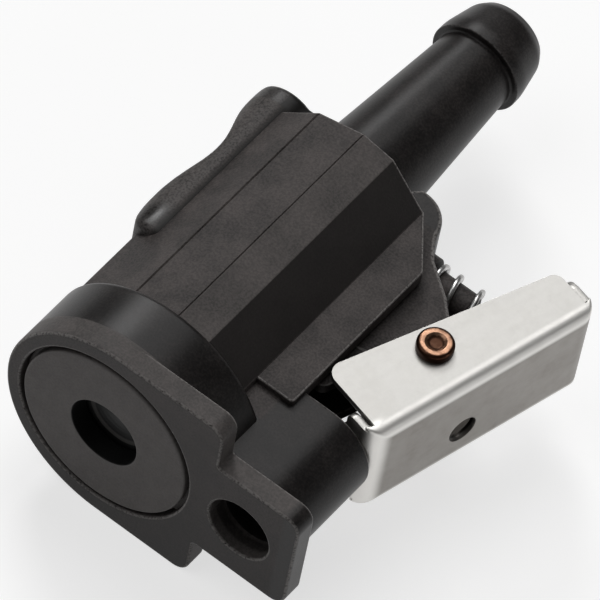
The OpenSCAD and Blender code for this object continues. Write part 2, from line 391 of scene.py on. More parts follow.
    def coil(self, start: Sequence[float], along: Sequence[float], side: Sequence[float], radius: float,
             wire: float, height: float, turns: float) -> None:
        """Winds a round wire into a spring with close end turns.

        At t turns the wire's centre is at angle 2 pi t and at a height that climbs by the close
        pitch in the first and last turn and evenly between them. The wire's skin is half a wire
        from the centre, cos b outwards and sin b along the axis.

        Args:
            start: foot of the axis.
            along: direction of the axis.
            side: direction of angle 0.
            radius: radius of the wire's centre line.
            wire: thickness of the wire.
            height: height of the whole spring.
            turns: number of turns.
        """
        start, along, side = np.asarray(start, float), np.asarray(along, float), np.asarray(side, float)
        t = np.linspace(0, turns, int(turns * self.TURN_STEPS) + 1)
        close, free = self.CLOSE_PITCH * wire, height - wire
        pitch = (free - 2 * close) / (turns - 2)
        last = np.where(t > turns - 1, free - close * (turns - t), close + pitch * (t - 1))
        level = np.where(t < 1, close * t, last) + wire / 2
        a = 2 * np.pi * t[:, None, None]
        b = np.linspace(0, 2 * np.pi, self.WIRE_SIDES, endpoint=False)[None, :, None]
        out = np.cos(a) * side + np.sin(a) * np.cross(along, side)
        rise = level[:, None, None] + wire / 2 * np.sin(b)
        self.ring_loft(start + (radius + wire / 2 * np.cos(b)) * out + rise * along)

    @staticmethod
    def placed(points: Array, axis: Axis) -> Array:
        """Returns points given as (first, second, height) in the frame's X, Y and Z."""
        return points[:, list(axis.value)]

    def make(self, body: str, material: bpy.types.Material, replaced: Sequence[str],
             sharp: float = 42.0) -> bpy.types.Object:
        """Makes the object, merges doubled points, gives it its body and finish, and hides the CAD nodes that
        it stands for.

        Args:
            body: body that the piece rides on.
            material: its finish.
            replaced: CAD nodes that the piece stands for.
            sharp: angle in degrees above which an edge stays sharp.

        Returns:
            The new object.
        """
        mesh = bpy.data.meshes.new(self.name)
        mesh.from_pydata((np.concatenate(self.points) * MM).tolist(), [], self.faces)
        wear_and_painted_light = mesh.attributes.new("wear_and_painted_light", "FLOAT", "POINT")
        wear_and_painted_light.data.foreach_set("value", np.concatenate(self.wear_and_painted_light).astype(np.float32))
        work = bmesh.new()
        work.from_mesh(mesh)
        bmesh.ops.remove_doubles(work, verts=work.verts, dist=MERGE_M)
        bmesh.ops.delete(work, geom=[v for v in work.verts if not v.link_faces], context="VERTS")
        work.to_mesh(mesh)
        work.free()
        mesh.shade_smooth()
        mesh.set_sharp_from_angle(angle=math.radians(sharp))
        mesh.materials.append(material)
        piece = bpy.data.objects.new(self.name, mesh)
        bpy.context.scene.collection.objects.link(piece)
        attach(piece, body)
        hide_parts(*replaced)
        LOG.info("%s: %d points, %d faces, on %s", self.name, len(mesh.vertices), len(mesh.polygons), body)
        return piece


# ---------------------------------------------------------------- shader arithmetic


class Signal:
    """A value in a material's node tree that takes part in plain arithmetic."""

    def __init__(self, graph: "Graph", socket: bpy.types.NodeSocket) -> None:
        """Wraps one output socket."""
        self.graph = graph
        self.socket = socket

    def math(self, operation: str, *others: Any) -> "Signal":
        """Adds a Math node for an operation on this value and the others, in that order."""
        return self.graph.node("ShaderNodeMath", {"operation": operation}, dict(enumerate((self, *others))))

    def __add__(self, other: Any) -> "Signal":
        """Sum."""
        return self.math("ADD", other)

    __radd__ = __add__

    def __sub__(self, other: Any) -> "Signal":
        """Difference."""
        return self.math("SUBTRACT", other)

    def __rsub__(self, other: Any) -> "Signal":
        """Difference with this value on the right."""
        return self.graph.node("ShaderNodeMath", {"operation": "SUBTRACT"}, {0: other, 1: self})

    def __mul__(self, other: Any) -> "Signal":
        """Product."""
        return self.math("MULTIPLY", other)

    __rmul__ = __mul__

    def between(self, low: float, high: float) -> "Signal":
        """Smooth step.

        Args:
            low: value up to which it is 0.
            high: value from which on it is 1.

        Returns:
            The step as a signal.
        """
        ranges = {"From Min": low, "From Max": high, "To Min": 0.0, "To Max": 1.0}
        settings = {"interpolation_type": "SMOOTHSTEP"}
        return self.graph.node("ShaderNodeMapRange", settings, {"Value": self, **ranges})

    def rise(self, start: float, blur: float) -> "Signal":
        """Mask that is 0 up to a start and 1 past a blur behind it."""
        return self.between(start, start + blur)

    def fall(self, start: float, blur: float) -> "Signal":
        """Mask that is 1 up to a start and 0 past a blur behind it."""
        return 1 - self.between(start, start + blur)

    def swing(self, amount: float) -> "Signal":
        """Noise from 0 to 1 as a change of up to half the amount either way."""
        return (self - 0.5) * amount


class Graph:
    """Node tree of one material, with its Principled shader."""

    def __init__(self, name: str) -> None:
        """Makes a material with a Principled shader that feeds its output.

        Args:
            name: the material's name.
        """
        self.material = bpy.data.materials.new(name)
        self.material.use_nodes = True
        self.tree = self.material.node_tree
        self.tree.nodes.clear()
        self.surface = self.tree.nodes.new("ShaderNodeBsdfPrincipled")
        output = self.tree.nodes.new("ShaderNodeOutputMaterial")
        self.tree.links.new(self.surface.outputs[0], output.inputs["Surface"])

    def put(self, socket: bpy.types.NodeSocket, value: Any) -> None:
        """Links a signal to a socket, or sets the socket's own value.

        Args:
            socket: input of a node.
            value: signal, number, colour or vector.
        """
        if isinstance(value, Signal):
            self.tree.links.new(value.socket, socket)
        else:
            socket.default_value = value

    def node(self, kind: str, settings: Optional[dict] = None, values: Optional[dict] = None,
             output: Union[int, str] = 0) -> Signal:
        """Adds a node.

        Args:
            kind: the node's type name.
            settings: its properties, which are set first.
            values: numbers or signals for its inputs, by name or number.
            output: the output that is returned.

        Returns:
            The chosen output as a signal.
        """
        made = self.tree.nodes.new(kind)
        for key, value in (settings or {}).items():
            setattr(made, key, value)
        for key, value in (values or {}).items():
            self.put(made.inputs[key], value)
        return Signal(self, made.outputs[output])

    def place(self, scale: Sequence[float] = (1, 1, 1), turn: float = 0.0,
              offset: Sequence[float] = (0, 0, 0)) -> Signal:
        """Returns Object coordinates in pattern units.

        Args:
            scale: pattern units per millimetre along the three axes, after the turn.
            turn: turn about Z in degrees that brings a tilted piece's own axes onto X and Y.
            offset: point in millimetres that goes to the pattern's origin before the turn.

        Returns:
            The coordinates as a vector signal.
        """
        where = self.node("ShaderNodeTexCoord", output="Object")
        shift = tuple(-v * MM for v in offset)
        where = self.node("ShaderNodeMapping", {}, {"Vector": where, "Location": shift})
        where = self.node("ShaderNodeMapping", {}, {"Vector": where, "Rotation": (0, 0, math.radians(turn))})
        return self.node("ShaderNodeMapping", {}, {"Vector": where, "Scale": tuple(v / MM for v in scale)})

    def axes(self, where: Signal) -> tuple[Signal, Signal, Signal]:
        """Returns the X, Y and Z of a place."""
        x, y, z = (self.node("ShaderNodeSeparateXYZ", {}, {0: where}, output=k) for k in range(3))
        return x, y, z

    def distance(self, where: Signal, plane: Sequence[float] = (1, 1, 1)) -> Signal:
        """Returns how far a place is from the pattern's origin; a 0 in the plane leaves out that axis."""
        kept = self.node("ShaderNodeVectorMath", {"operation": "MULTIPLY"}, {0: where, 1: plane})
        return self.node("ShaderNodeVectorMath", {"operation": "LENGTH"}, {0: kept}, output=1)

    def wear_and_painted_light(self) -> Signal:
        """Returns the worn paleness, painted highlight and painted shade that the mesh carries, point by
        point.
        """
        return self.node("ShaderNodeAttribute", {"attribute_name": "wear_and_painted_light"}, output="Fac")

    def noise(self, where: Signal, scale: float, detail: float = 2.0, roughness: float = 0.5) -> Signal:
        """Noise from 0 to 1 over a place.

        Args:
            where: the place.
            scale: cells per pattern unit.
            detail: number of finer layers.
            roughness: strength of each finer layer.

        Returns:
            The noise as a signal.
        """
        values = {"Vector": where, "Scale": scale, "Detail": detail, "Roughness": roughness}
        return self.node("ShaderNodeTexNoise", {"noise_dimensions": "3D"}, values)

    def blend(self, share: Any, first: Any, second: Any) -> Signal:
        """Colour between two others.

        Args:
            share: 0 for the first, 1 for the second.
            first: a colour or a signal.
            second: a colour or a signal.

        Returns:
            The mixed colour as a signal.
        """
        one, two = (c if isinstance(c, Signal) else (*c, 1.0) for c in (first, second))
        return self.node("ShaderNodeMix", {"data_type": "RGBA"}, {0: share, 6: one, 7: two}, output=2)

    def relief(self, height: Signal, depth: float) -> Signal:
        """Normal of a surface whose height signal from 0 to 1 stands for a depth in millimetres."""
        return self.node("ShaderNodeBump", {}, {"Height": height, "Strength": 1.0, "Distance": depth * MM})

    def finish(self, **sockets: Any) -> bpy.types.Material:
        """Sets the shader's sockets.

        Args:
            **sockets: value or signal of each, named with underscores for blanks.

        Returns:
            The material.
        """
        for key, value in sockets.items():
            name = key.replace("_", " ")
            whole = (*value, 1.0) if isinstance(value, tuple) and len(value) == 3 else value
            self.put(self.surface.inputs[name], whole)
        return self.material


# ---------------------------------------------------------------- finishes


@dataclass(frozen=True)
class MouldedPlastic:
    """Black injection moulding with a fine grain and faint clouds; lengths are in millimetres.

    The barrel, the boss, the barb, the tab, the sealing face and the nose of the finger rest are
    smoother and darker. Painted shade darkens the nose, the lower part of the sealing face, creases and
    the facets beside the latch; painted light brightens the next facets and the flange's rim band.
    """

    name: str = "moulded_plastic"
    deep: Colour = (0.019, 0.0165, 0.0158)
    worn: Colour = (0.092, 0.080, 0.0765)
    polished: Colour = (0.007, 0.0062, 0.0062)
    # Pale colour of worn edges, also used for painted highlights on edges and painted light on the flange's
    # rim band and facets.
    rubbed_and_lit: Colour = (0.30, 0.285, 0.275)
    # Colour of painted shade in creases, low on the sealing face and on the nose.
    painted_shade_colour: Colour = (0.005, 0.0045, 0.004)
    rough: float = 0.56
    smooth: float = 0.35
    mottle: float = 0.10
    cloud_scale: float = 0.22
    cloud_share: float = 0.45
    grain: float = 0.26
    grain_depth: float = 0.02
    crisp: float = 0.1
    soft: float = 0.2
    face_y: float = 0.1
    flange_y: float = 2.75
    barrel_y: float = 8.7
    barrel_side: float = 12.5
    boss_y: float = 14.8
    boss_half: float = 5.75
    tab_x: float = 22.0
    barb_y: float = 40.7
    nose: Point = (-11.0, 21.0, 6.4)
    nose_fade: Pair = (0.2, 3.0)
    facet_x: Point = (0.85, 4.9, 9.6)
    facet_y: Pair = (8.9, 40.1)
    facet_z: Pair = (11.2, 6.55)
    face_polish: float = 0.3
    barb_polish: float = 0.9
    # Strengths of painted shade on the facets beside the latch and of painted light on the next ones.
    facet_shade: float = 0.85
    facet_light: float = 0.13
    # Strength of painted light on the flange's rim band.
    flange_rim_light: float = 0.14
    # Strengths of painted shade low on the sealing face, on the nose and in creases.
    face_shade: float = 0.45
    nose_shade: float = 0.6
    crease_shade: float = 0.85

    def round_forms(self, across: Signal, along: Signal, tall: Signal, flange: Signal) -> Signal:
        """Marks the barrel and the boss beside it, behind the flange.

        Args:
            across: X.
            along: Y.
            tall: distance from the middle plane.
            flange: mask of the flange.

        Returns:
            1 on the two forms and 0 elsewhere.
        """
        beside = across.rise(self.barrel_side, 0.6)
        barrel = (1 - flange) * along.fall(self.barrel_y, self.soft) * (1 - beside)
        boss = (1 - flange) * along.fall(self.boss_y, self.soft) * beside
        return barrel + boss * tall.fall(self.boss_half, self.soft)

    def facets(self, across: Signal, along: Signal, tall: Signal) -> tuple[Signal, Signal]:
        """Marks the grip's facets on the latch's side, which get painted shade and painted light.

        Args:
            across: X.
            along: Y.
            tall: distance from the middle plane.

        Returns:
            Masks of the facets beside the latch, which get painted shade, and of the ones next to them,
            which get painted light.
        """
        (x0, x1, x2), (y0, y1), (z0, z1) = self.facet_x, self.facet_y, self.facet_z
        fade, half = self.crisp, self.crisp / 2
        grip = along.rise(y0, fade) * along.fall(y1, fade)
        inner = across.rise(x1 - half, fade)
        painted_shade_facets = grip * inner * across.fall(x2 - fade, fade) * tall.rise(z1, fade)
        painted_light_facets = grip * across.rise(x0 - half, fade) * (1 - inner) * tall.rise(z0, fade)
        return painted_shade_facets, painted_light_facets

    def material(self) -> bpy.types.Material:
        """Mixes two blacks by cloud and speck noise, and lays polish, worn edges, painted light and painted
        shade over them.

        The mesh's values above 0 pale the edges, as wearing and painted highlight, and below 0 paint
        shade in creases. The lower part of the sealing face and the nose get painted shade.

        Returns:
            The moulding's material.
        """
        g = Graph(self.name)
        where = g.place()
        cloud = g.noise(where, self.cloud_scale, 3.0, 0.6)
        speck = g.noise(where, 1 / self.grain, 2.0, 0.6)
        fine = g.noise(where, 2.6 / self.grain, 1.0)
        across, along, level = g.axes(where)
        tall = level.math("ABSOLUTE")
        face = along.fall(self.face_y, self.soft)
        flange = along.fall(self.flange_y, self.crisp)
        tab = flange * across.rise(self.tab_x, 1.0)
        # The finger rest's nose gets polish and painted shade: a dark patch with a glossier finish.
        nose = 1 - g.distance(g.place(offset=self.nose)).between(*self.nose_fade)
        polish = self.round_forms(across, along, tall, flange)
        polish = polish + (face * self.face_polish).math("MAXIMUM", tab) + nose
        polish = polish + along.rise(self.barb_y, 0.4) * self.barb_polish
        # Facets beside the latch get painted shade, the ones next to them painted light.
        painted_shade_facets, painted_light_facets = self.facets(across, along, tall)
        clouds, specks = cloud.between(0.32, 0.68), speck.between(0.3, 0.7)
        tone = clouds * self.cloud_share + specks * (1 - self.cloud_share)
        # Painted shade on the facets beside the latch.
        tone = tone * (1 - painted_shade_facets * self.facet_shade)
        black = g.blend(polish * (0.92 - tone * 0.22), g.blend(tone, self.deep, self.worn), self.polished)
        carried = g.wear_and_painted_light()
        # The mesh's pale edges are worn and carry painted highlights; the flange's rim band gets painted
        # light.
        wear_and_painted_light = carried * speck.between(0.25, 0.6) + flange * (1 - face) * (1 - tab) * self.flange_rim_light
        # Painted light on the facets next to the latch's.
        wear_and_painted_light = (wear_and_painted_light + painted_light_facets * self.facet_light) * 0.8
        # Painted shade low on the sealing face, on the nose and in creases, where the mesh's values are below
        # 0.
        painted_shade = face * level.fall(-12.0, 20.0) * self.face_shade + nose * self.nose_shade
        painted_shade = painted_shade - carried * self.crease_shade
        rough = self.rough - polish * (self.rough - self.smooth)
        rough = rough + cloud.swing(self.mottle) + speck.swing(self.mottle) - nose * 0.12
        height = speck * (0.65 - polish * 0.35) + fine * 0.35
        colour = g.blend(painted_shade, g.blend(wear_and_painted_light, black, self.rubbed_and_lit), self.painted_shade_colour)
        return g.finish(Base_Color=colour, Roughness=rough, Specular_IOR_Level=0.20,
                        Normal=g.relief(height, self.grain_depth))


@dataclass(frozen=True)
class SealRubber:
    """Dull nitrile rubber with a dusty bloom and a fine moulded grain; lengths are in millimetres."""

    name: str = "seal_rubber"
    dark: Colour = (0.088, 0.080, 0.077)
    bloom: Colour = (0.165, 0.153, 0.148)
    # Painted shade in the bore.
    painted_bore_shade: Colour = (0.003, 0.003, 0.003)
    # Painted highlight on both rims of the face.
    edge: Colour = (0.19, 0.18, 0.175)
    rough: float = 0.62
    bloom_share: float = 0.4
    bore_r: float = 4.22
    bore_blur: float = 0.08
    grain_depth: float = 0.015

    def material(self) -> bpy.types.Material:
        """Bloom follows cloud noise, the bore gets painted shade, and both rims get a painted highlight.

        Returns:
            The seal's material.
        """
        g = Graph(self.name)
        where = g.place()
        cloud, grain = g.noise(where, 0.5, 3.0, 0.6), g.noise(where, 3.6, 2.0)
        clouds, grains = cloud.between(0.3, 0.7), grain.between(0.3, 0.7)
        tone = clouds * self.bloom_share + grains * (1 - self.bloom_share)
        # The mesh's values paint highlights on both rims of the face.
        face = g.blend(g.wear_and_painted_light(), g.blend(tone, self.dark, self.bloom), self.edge)
        # Inside the bore's radius the colour is painted shade.
        outside = g.distance(where, (1, 0, 1)).rise(self.bore_r, self.bore_blur)
        return g.finish(Base_Color=g.blend(outside, self.painted_bore_shade, face),
                        Roughness=self.rough + grain.swing(0.2), Specular_IOR_Level=0.3,
                        Normal=g.relief(grain, self.grain_depth))


@dataclass(frozen=True)
class ValvePlastic:
    """Smooth black plastic of the valve with faint turning rings; lengths are in millimetres."""

    name: str = "valve_plastic"
    dark: Colour = (0.005, 0.005, 0.005)
    light: Colour = (0.012, 0.012, 0.012)
    # Painted highlight on the ring where the plunger seats.
    rim: Colour = (0.12, 0.115, 0.11)
    rim_r: Pair = (3.3, 3.85)
    rough: float = 0.38
    ring_scale: float = 14.0
    ring_share: float = 0.4
    ring_depth: float = 0.004

    def material(self) -> bpy.types.Material:
        """Rings are a sine of the distance from the Y axis, and the ring where it seats is painted paler as a
        highlight.

        Returns:
            The plunger's material.
        """
        g = Graph(self.name)
        where = g.place()
        far = g.distance(where, (1, 0, 1))
        rings = (far * self.ring_scale).math("SINE") * 0.5 + 0.5
        cloud = g.noise(where, 1.2, 3.0)
        # Painted highlight on the ring where the plunger seats.
        seat = far.rise(self.rim_r[0], 0.3) * far.fall(self.rim_r[1], 0.12)
        tone = rings * self.ring_share + cloud * (1 - self.ring_share)
        return g.finish(Base_Color=g.blend(seat, g.blend(tone, self.dark, self.light), self.rim),
                        Roughness=self.rough + cloud.swing(0.2), Normal=g.relief(rings, self.ring_depth))


@dataclass(frozen=True)
class SatinSheet:
    """Rolled stainless sheet, brushed along the lever and blotchy where it was tumbled.

    The places are in millimetres along the lever's own axes: web is how far its outer face stands
    from the passage's axis, half is the flanges' outer face, and ends are the two end walls.
    """

    name: str = "satin_sheet"
    bright: Colour = (0.455, 0.447, 0.43)
    dull: Colour = (0.34, 0.332, 0.316)
    # Darker colour of the web: grime and painted shade.
    handled_and_shaded: Colour = (0.235, 0.217, 0.198)
    # Painted highlight along the folds.
    folded: Colour = (0.86, 0.845, 0.815)
    # Painted shade on the side that faces the body.
    painted_inner_shade: Colour = (0.060, 0.055, 0.050)
    rough: float = 0.42
    tilt: float = 14.2
    half: float = 6.65
    web: float = 19.21
    ends: Pair = (19.6, 49.4)
    blotch_share: float = 0.6
    mark_depth: float = 0.006

    def inner_side(self, across: Signal, along: Signal, tall: Signal) -> Signal:
        """Marks the side that faces the body, which gets painted shade.

        Args:
            across: place from the passage's axis to the web.
            along: place along the lever.
            tall: distance from the middle plane.

        Returns:
            1 further in than most of the sheet's thickness and 0 on its outer skin.
        """
        inside = across.fall(self.web - 0.6, 0.25) * tall.fall(self.half - 0.6, 0.25)
        return inside * along.rise(self.ends[0] + 1.0, 0.4) * along.fall(self.ends[1] - 1.4, 0.4)

    def folds(self, across: Signal, along: Signal, tall: Signal) -> Signal:
        """Marks the two folds beside the web and the bend above the hook, which get a painted highlight.

        Args:
            across: place from the passage's axis to the web.
            along: place along the lever.
            tall: distance from the middle plane.

        Returns:
            1 on the folds and 0 elsewhere.
        """
        fold = across.rise(self.web - 1.7, 0.8) * tall.rise(self.half - 1.5, 0.7)
        hooked = along.fall(self.ends[0] + 1.0, 1.6) * across.rise(self.web - 2.3, 0.8)
        return fold.math("MAXIMUM", hooked)

    def material(self) -> bpy.types.Material:
        """Streaks are drawn out along the lever and blotches are broad.

        The web is darkened by grime and painted shade, the folds get a painted highlight and the inner
        side gets painted shade.

        Returns:
            The lever's material.
        """
        g = Graph(self.name)
        streak = g.noise(g.place((7.0, 0.22, 7.0), self.tilt), 1.0, 3.0, 0.6)
        where = g.place(turn=self.tilt)
        blotch, pits = g.noise(where, 0.38, 4.0, 0.65), g.noise(where, 9.0, 2.0)
        across, along, level = g.axes(where)
        tall = level.math("ABSOLUTE")
        tone = blotch.between(0.3, 0.7) * self.blotch_share + streak * (1 - self.blotch_share)
        # Grime and painted shade darken the web.
        web_shade_and_grime = tall.fall(self.half - 1.6, 0.7) * (0.75 + blotch.swing(0.8))
        fold = self.folds(across, along, tall)
        outer = g.blend(web_shade_and_grime, g.blend(tone, self.dull, self.bright), self.handled_and_shaded)
        # Painted highlight on the folds.
        outer = g.blend(fold, outer, self.folded)
        rough = self.rough + streak.swing(0.16) + blotch.swing(0.18) + fold * 0.10
        height = streak * 0.55 + pits * 0.2 + blotch * 0.25
        # Painted shade on the side that faces the body.
        colour = g.blend(self.inner_side(across, along, tall), outer, self.painted_inner_shade)
        return g.finish(Base_Color=colour, Metallic=1.0, Roughness=rough,
                        Normal=g.relief(height, self.mark_depth))


@dataclass(frozen=True)
class CopperRivet:
    """Copper-plated rivet head, tarnished in its dimple and at its foot; lengths are in millimetres."""

    name: str = "copper_rivet"
    clean: Colour = (0.42, 0.24, 0.155)
    tarnish: Colour = (0.062, 0.029, 0.018)
    centre: Point = (20.9, 27.5, 0.0)
    rough: float = 0.3
    dimple_r: Pair = (0.75, 1.05)
    foot_r: Pair = (1.5, 1.8)
    pit_depth: float = 0.012

    def material(self) -> bpy.types.Material:
        """Tarnish grows where noise is high and near the rivet's axis and foot.

        Returns:
            The rivet's material.
        """
        g = Graph(self.name)
        where = g.place(offset=self.centre)
        far = g.distance(where, (1, 1, 0))
        patch, pits = g.noise(where, 1.5, 4.0, 0.6), g.noise(where, 8.0, 2.0)
        dimple, foot = 1 - far.between(*self.dimple_r), far.between(*self.foot_r)
        aged = (patch.between(0.42, 0.66) * 0.5 + dimple * 0.95 + foot).math("MINIMUM", 1.0)
        return g.finish(Base_Color=g.blend(aged, self.clean, self.tarnish), Metallic=1.0,
                        Roughness=self.rough + pits.swing(0.12) + dimple * 0.15,
                        Normal=g.relief(patch * 0.7 + pits * 0.3, self.pit_depth))


@dataclass(frozen=True)
class SpringWire:
    """Bright drawn wire with fine die marks; lengths are in millimetres."""

    name: str = "spring_wire"
    bright: Colour = (0.66, 0.66, 0.66)
    dull: Colour = (0.36, 0.35, 0.34)
    rough: float = 0.28
    patch_share: float = 0.7
    mark_depth: float = 0.003

    def material(self) -> bpy.types.Material:
        """Die marks and dull patches are two noises that vary the colour and the roughness.

        Returns:
            The springs' material.
        """
        g = Graph(self.name)
        where = g.place()
        patch, marks = g.noise(where, 1.4, 3.0), g.noise(where, 12.0, 2.0)
        tone = patch.between(0.35, 0.65) * self.patch_share + marks * (1 - self.patch_share)
        return g.finish(Base_Color=g.blend(tone, self.dull, self.bright), Metallic=1.0,
                        Roughness=self.rough + marks.swing(0.14) + (1 - tone) * 0.08,
                        Normal=g.relief(marks, self.mark_depth))


# ---------------------------------------------------------------- body


@dataclass
class BodyMoulding:
    """The one black moulding: flange, barrel, boss, grip, wings, finger rest, lug, peg and barb.

    Names that end in x, y or z are places along those axes, r is a radius, t a thickness, and half
    the distance of a side from the middle plane.
    """

    edge_r: float = 0.3
    barrel_r: float = 13.3
    barrel_x: float = 0.6
    barrel_y: Pair = (0.33, 8.8)
    barrel_t: float = 0.9
    shoulder_r: float = 0.6
    neck_r: float = 8.0
    flange_t: float = 2.7
    step_x: float = 13.8
    lower_step_x: float = 12.7
    step_r: float = 0.5
    tab_x: float = 24.5
    tab_half: float = 7.4
    corner_r: float = 1.8
    guide_x: float = 17.6
    guide_r: float = 3.8
    boss_r: float = 5.7
    boss_y: Pair = (1.0, 14.7)
    boss_root_x: float = 7.0
    counterbore_r: float = 11.0
    counterbore_depth: float = 2.5
    chamber_r: float = 6.2
    chamber_end: float = 27.0
    lead_in: float = 0.25
    passage_r: float = 3.0
    ridges: tuple[Pair, ...] = ((9.6, 6.5), (4.9, 11.35), (0.85, 12.1), (-4.8, 10.6), (-11.45, 4.6))
    ridge_r: tuple[float, ...] = (0.3, 0.35, 0.0, 0.0, 0.6)
    fine_groove: Pair = (0.18, 0.11)
    wide_groove: Pair = (0.32, 0.17)
    groove_r: tuple[float, float, float] = (0.05, 0.03, 0.05)
    groove_reach: float = 0.45
    grip_start: float = 7.3
    grip_end: float = 40.5
    grip_edge: float = 0.35
    grip_step: float = 0.6
    wing_top: float = 6.5
    wing_t: float = 1.9
    wing_edge: float = 0.22
    wing_x: float = 14.2
    wing_y: Pair = (12.2, 34.3)
    wing_root_x: float = 7.5
    rest_half: float = 6.8
    rest_x: float = 13.7
    rest_y: Pair = (18.85, 43.2)
    crest_y: Pair = (23.9, 41.3)
    crest_drop: float = 0.7
    saddle: float = 1.9
    nose_x: float = 9.4
    nose_power: float = 0.42
    rest_r: float = 4.0
    rest_end_r: float = 0.7
    rest_blend: float = 0.16
    rest_wear: float = 0.16
    rest_roots: tuple[float, float, float] = (7.0, 28.0, 5.0)
    # Angles over which the worn top of the bead gives way to painted shade in the crease.
    crease_deg: Pair = (88.0, 97.0)
    lug_half: float = 4.2
    lug_edge: float = 0.5
    pivot: Pair = (20.9, 27.5)
    pin_bore_r: float = 1.56
    ear_r: float = 3.2
    neck: tuple[Pair, ...] = ((18.5, 33.7), (17.3, 35.0), (13.4, 37.9), (12.3, 39.4))
    neck_turns: tuple[float, ...] = (1.0, 0.8, 0.9, 0.9)
    lobe: Point = (7.5, 40.15, 4.15)
    lug_root: tuple[Pair, ...] = (
        (6.0, 43.2), (4.0, 43.2), (4.0, 28.5), (7.0, 28.5), (7.0, 22.5), (9.6, 22.5))
    lug_root_r: tuple[float, ...] = (0.3, 0.0, 0.0, 0.0, 0.0, 2.0)
    cheek: tuple[Pair, ...] = ((7.5, 17.3), (14.6, 17.3), (16.3, 22.0), (17.2, 25.5), (7.5, 25.5))
    cheek_r: tuple[float, ...] = (0.0, 1.0, 1.0, 0.0, 0.0)
    cheek_t: float = 1.4
    cheek_z: Pair = (-4.1, 2.7)
    washer_r: float = 2.4
    washer_half: float = 5.75
    spring_y: float = 38.05
    seat_x: Pair = (10.0, 13.2)
    seat_r: float = 2.7
    peg_end: float = 18.9
    peg_r: float = 1.8
    barb_start: Pair = (38.5, 7.07)
    fillet_y: Pair = (0.35, 2.65)
    fillet_r: Pair = (6.12, 0.95)
    fillet_power: float = 2.4
    tube_r: float = 4.75
    lip_y: float = 63.3
    lip_r: float = 5.6
    lip_t: float = 1.3
    cone_t: float = 1.2
    cone_r: Pair = (4.85, 4.1)
    barb_turns: tuple[float, ...] = (0.25, 0.14, 6.0, 2.4, 0.5, 0.25, 0.0)
    # Painted highlight along the lip's crest, and its spread.
    lip_highlight: float = 0.3
    lip_highlight_spread: float = 0.008
    barb_end: float = 69.5

    def flange(self, mesh: PieceMesh) -> None:
        """Half circle on one side, two steps and the tab on the other, with counterbore and guide hole.

        The circle is a hair smaller than the barrel, so that their skins don't coincide.

        Args:
            mesh: mesh that takes the shell.
        """
        r, half = self.barrel_r, self.tab_half
        side = circle(self.barrel_x, 0, r - 0.01, 73, 90, 270)
        corners = [[self.lower_step_x, -r], [self.lower_step_x, -half], [self.tab_x, -half],
                   [self.tab_x, half], [self.step_x, half], [self.step_x, r]]
        turns = [self.corner_r, self.step_r, self.corner_r, self.corner_r, self.step_r, self.corner_r]
        outline = rounded(np.concatenate([side, corners]), [0.0] * len(side) + turns, 8)
        holes = [circle(0, 0, self.counterbore_r, 120), circle(self.guide_x, 0, self.guide_r, 72)]
        mesh.prism(outline, 0, self.flange_t, self.edge_r, Axis.Y, holes)

    def barrel(self, mesh: PieceMesh) -> None:
        """Ring about two axes: its outer profile turns about the barrel's centre, its bore about the passage.

        Args:
            mesh: mesh that takes the shell.
        """
        (start, rear), shoulder, r, lead = self.barrel_y, self.shoulder_r, self.barrel_r, self.lead_in
        front, wall = self.counterbore_depth, r - self.barrel_t
        t = np.linspace(0, np.pi / 2, 7)
        edge = np.stack([rear - shoulder + shoulder * np.sin(t), r - shoulder * (1 - np.cos(t))], 1)
        skirt = [[front, wall], [start, wall], [start, r], [rear - shoulder - SUPPORT, r]]
        back = [[rear, r - shoulder - SUPPORT], [rear, self.neck_r]]
        bore = [[rear - 1.2, self.chamber_r], [front + lead, self.chamber_r], [front, self.chamber_r + lead]]
        profile = np.concatenate([skirt, edge, back, bore])
        h, p = profile[:, :1], profile[:, 1:]
        shift = np.where(np.arange(len(h)) < len(h) - len(bore), self.barrel_x, 0.0)[:, None]
        a = np.linspace(0, 2 * np.pi, 144, endpoint=False)[None, :]
        rings = np.broadcast_arrays(shift + p * np.cos(a), h, p * np.sin(a))
        mesh.ring_loft(np.stack(rings, -1), closed=True)

    def boss(self, mesh: PieceMesh) -> None:
        """Tongue with a round end about the guide hole.

        Args:
            mesh: mesh that takes the shell.
        """
        r, root = self.boss_r, self.boss_root_x
        outline = np.concatenate([[[root, -r]], circle(self.guide_x, 0, r, 49, -90, 90), [[root, r]]])
        hole = circle(self.guide_x, 0, self.guide_r, 72)
        mesh.prism(outline, *self.boss_y, self.edge_r, Axis.Y, [hole])

    def grip_corners(self) -> Array:
        """Returns the corners of the grip's section, anticlockwise from the one above the latch."""
        upper = np.array(self.ridges)
        return np.concatenate([upper, upper[::-1] * [1, -1]])

    def grip_outline(self) -> Array:
        """Section of the grip, whose ridges are rounded where they have a radius and else grooved.

        Returns:
            The outline, anticlockwise.
        """
        corners = self.grip_corners()
        d = unit(np.roll(corners, -1, axis=0) - corners)
        rows, sizes = [], []
        for k, (corner, radius) in enumerate(zip(corners, self.ridge_r + self.ridge_r[::-1])):
            if radius:
                rows.append(corner)
                sizes.append(radius)
                continue
            depth, side = self.wide_groove if corner[0] < 0 else self.fine_groove
            bottom = corner + unit(d[k] - d[k - 1]) * depth
            rows += [corner - d[k - 1] * side, bottom, corner + d[k] * side]
            sizes += self.groove_r
        return rounded(rows, sizes, 4)

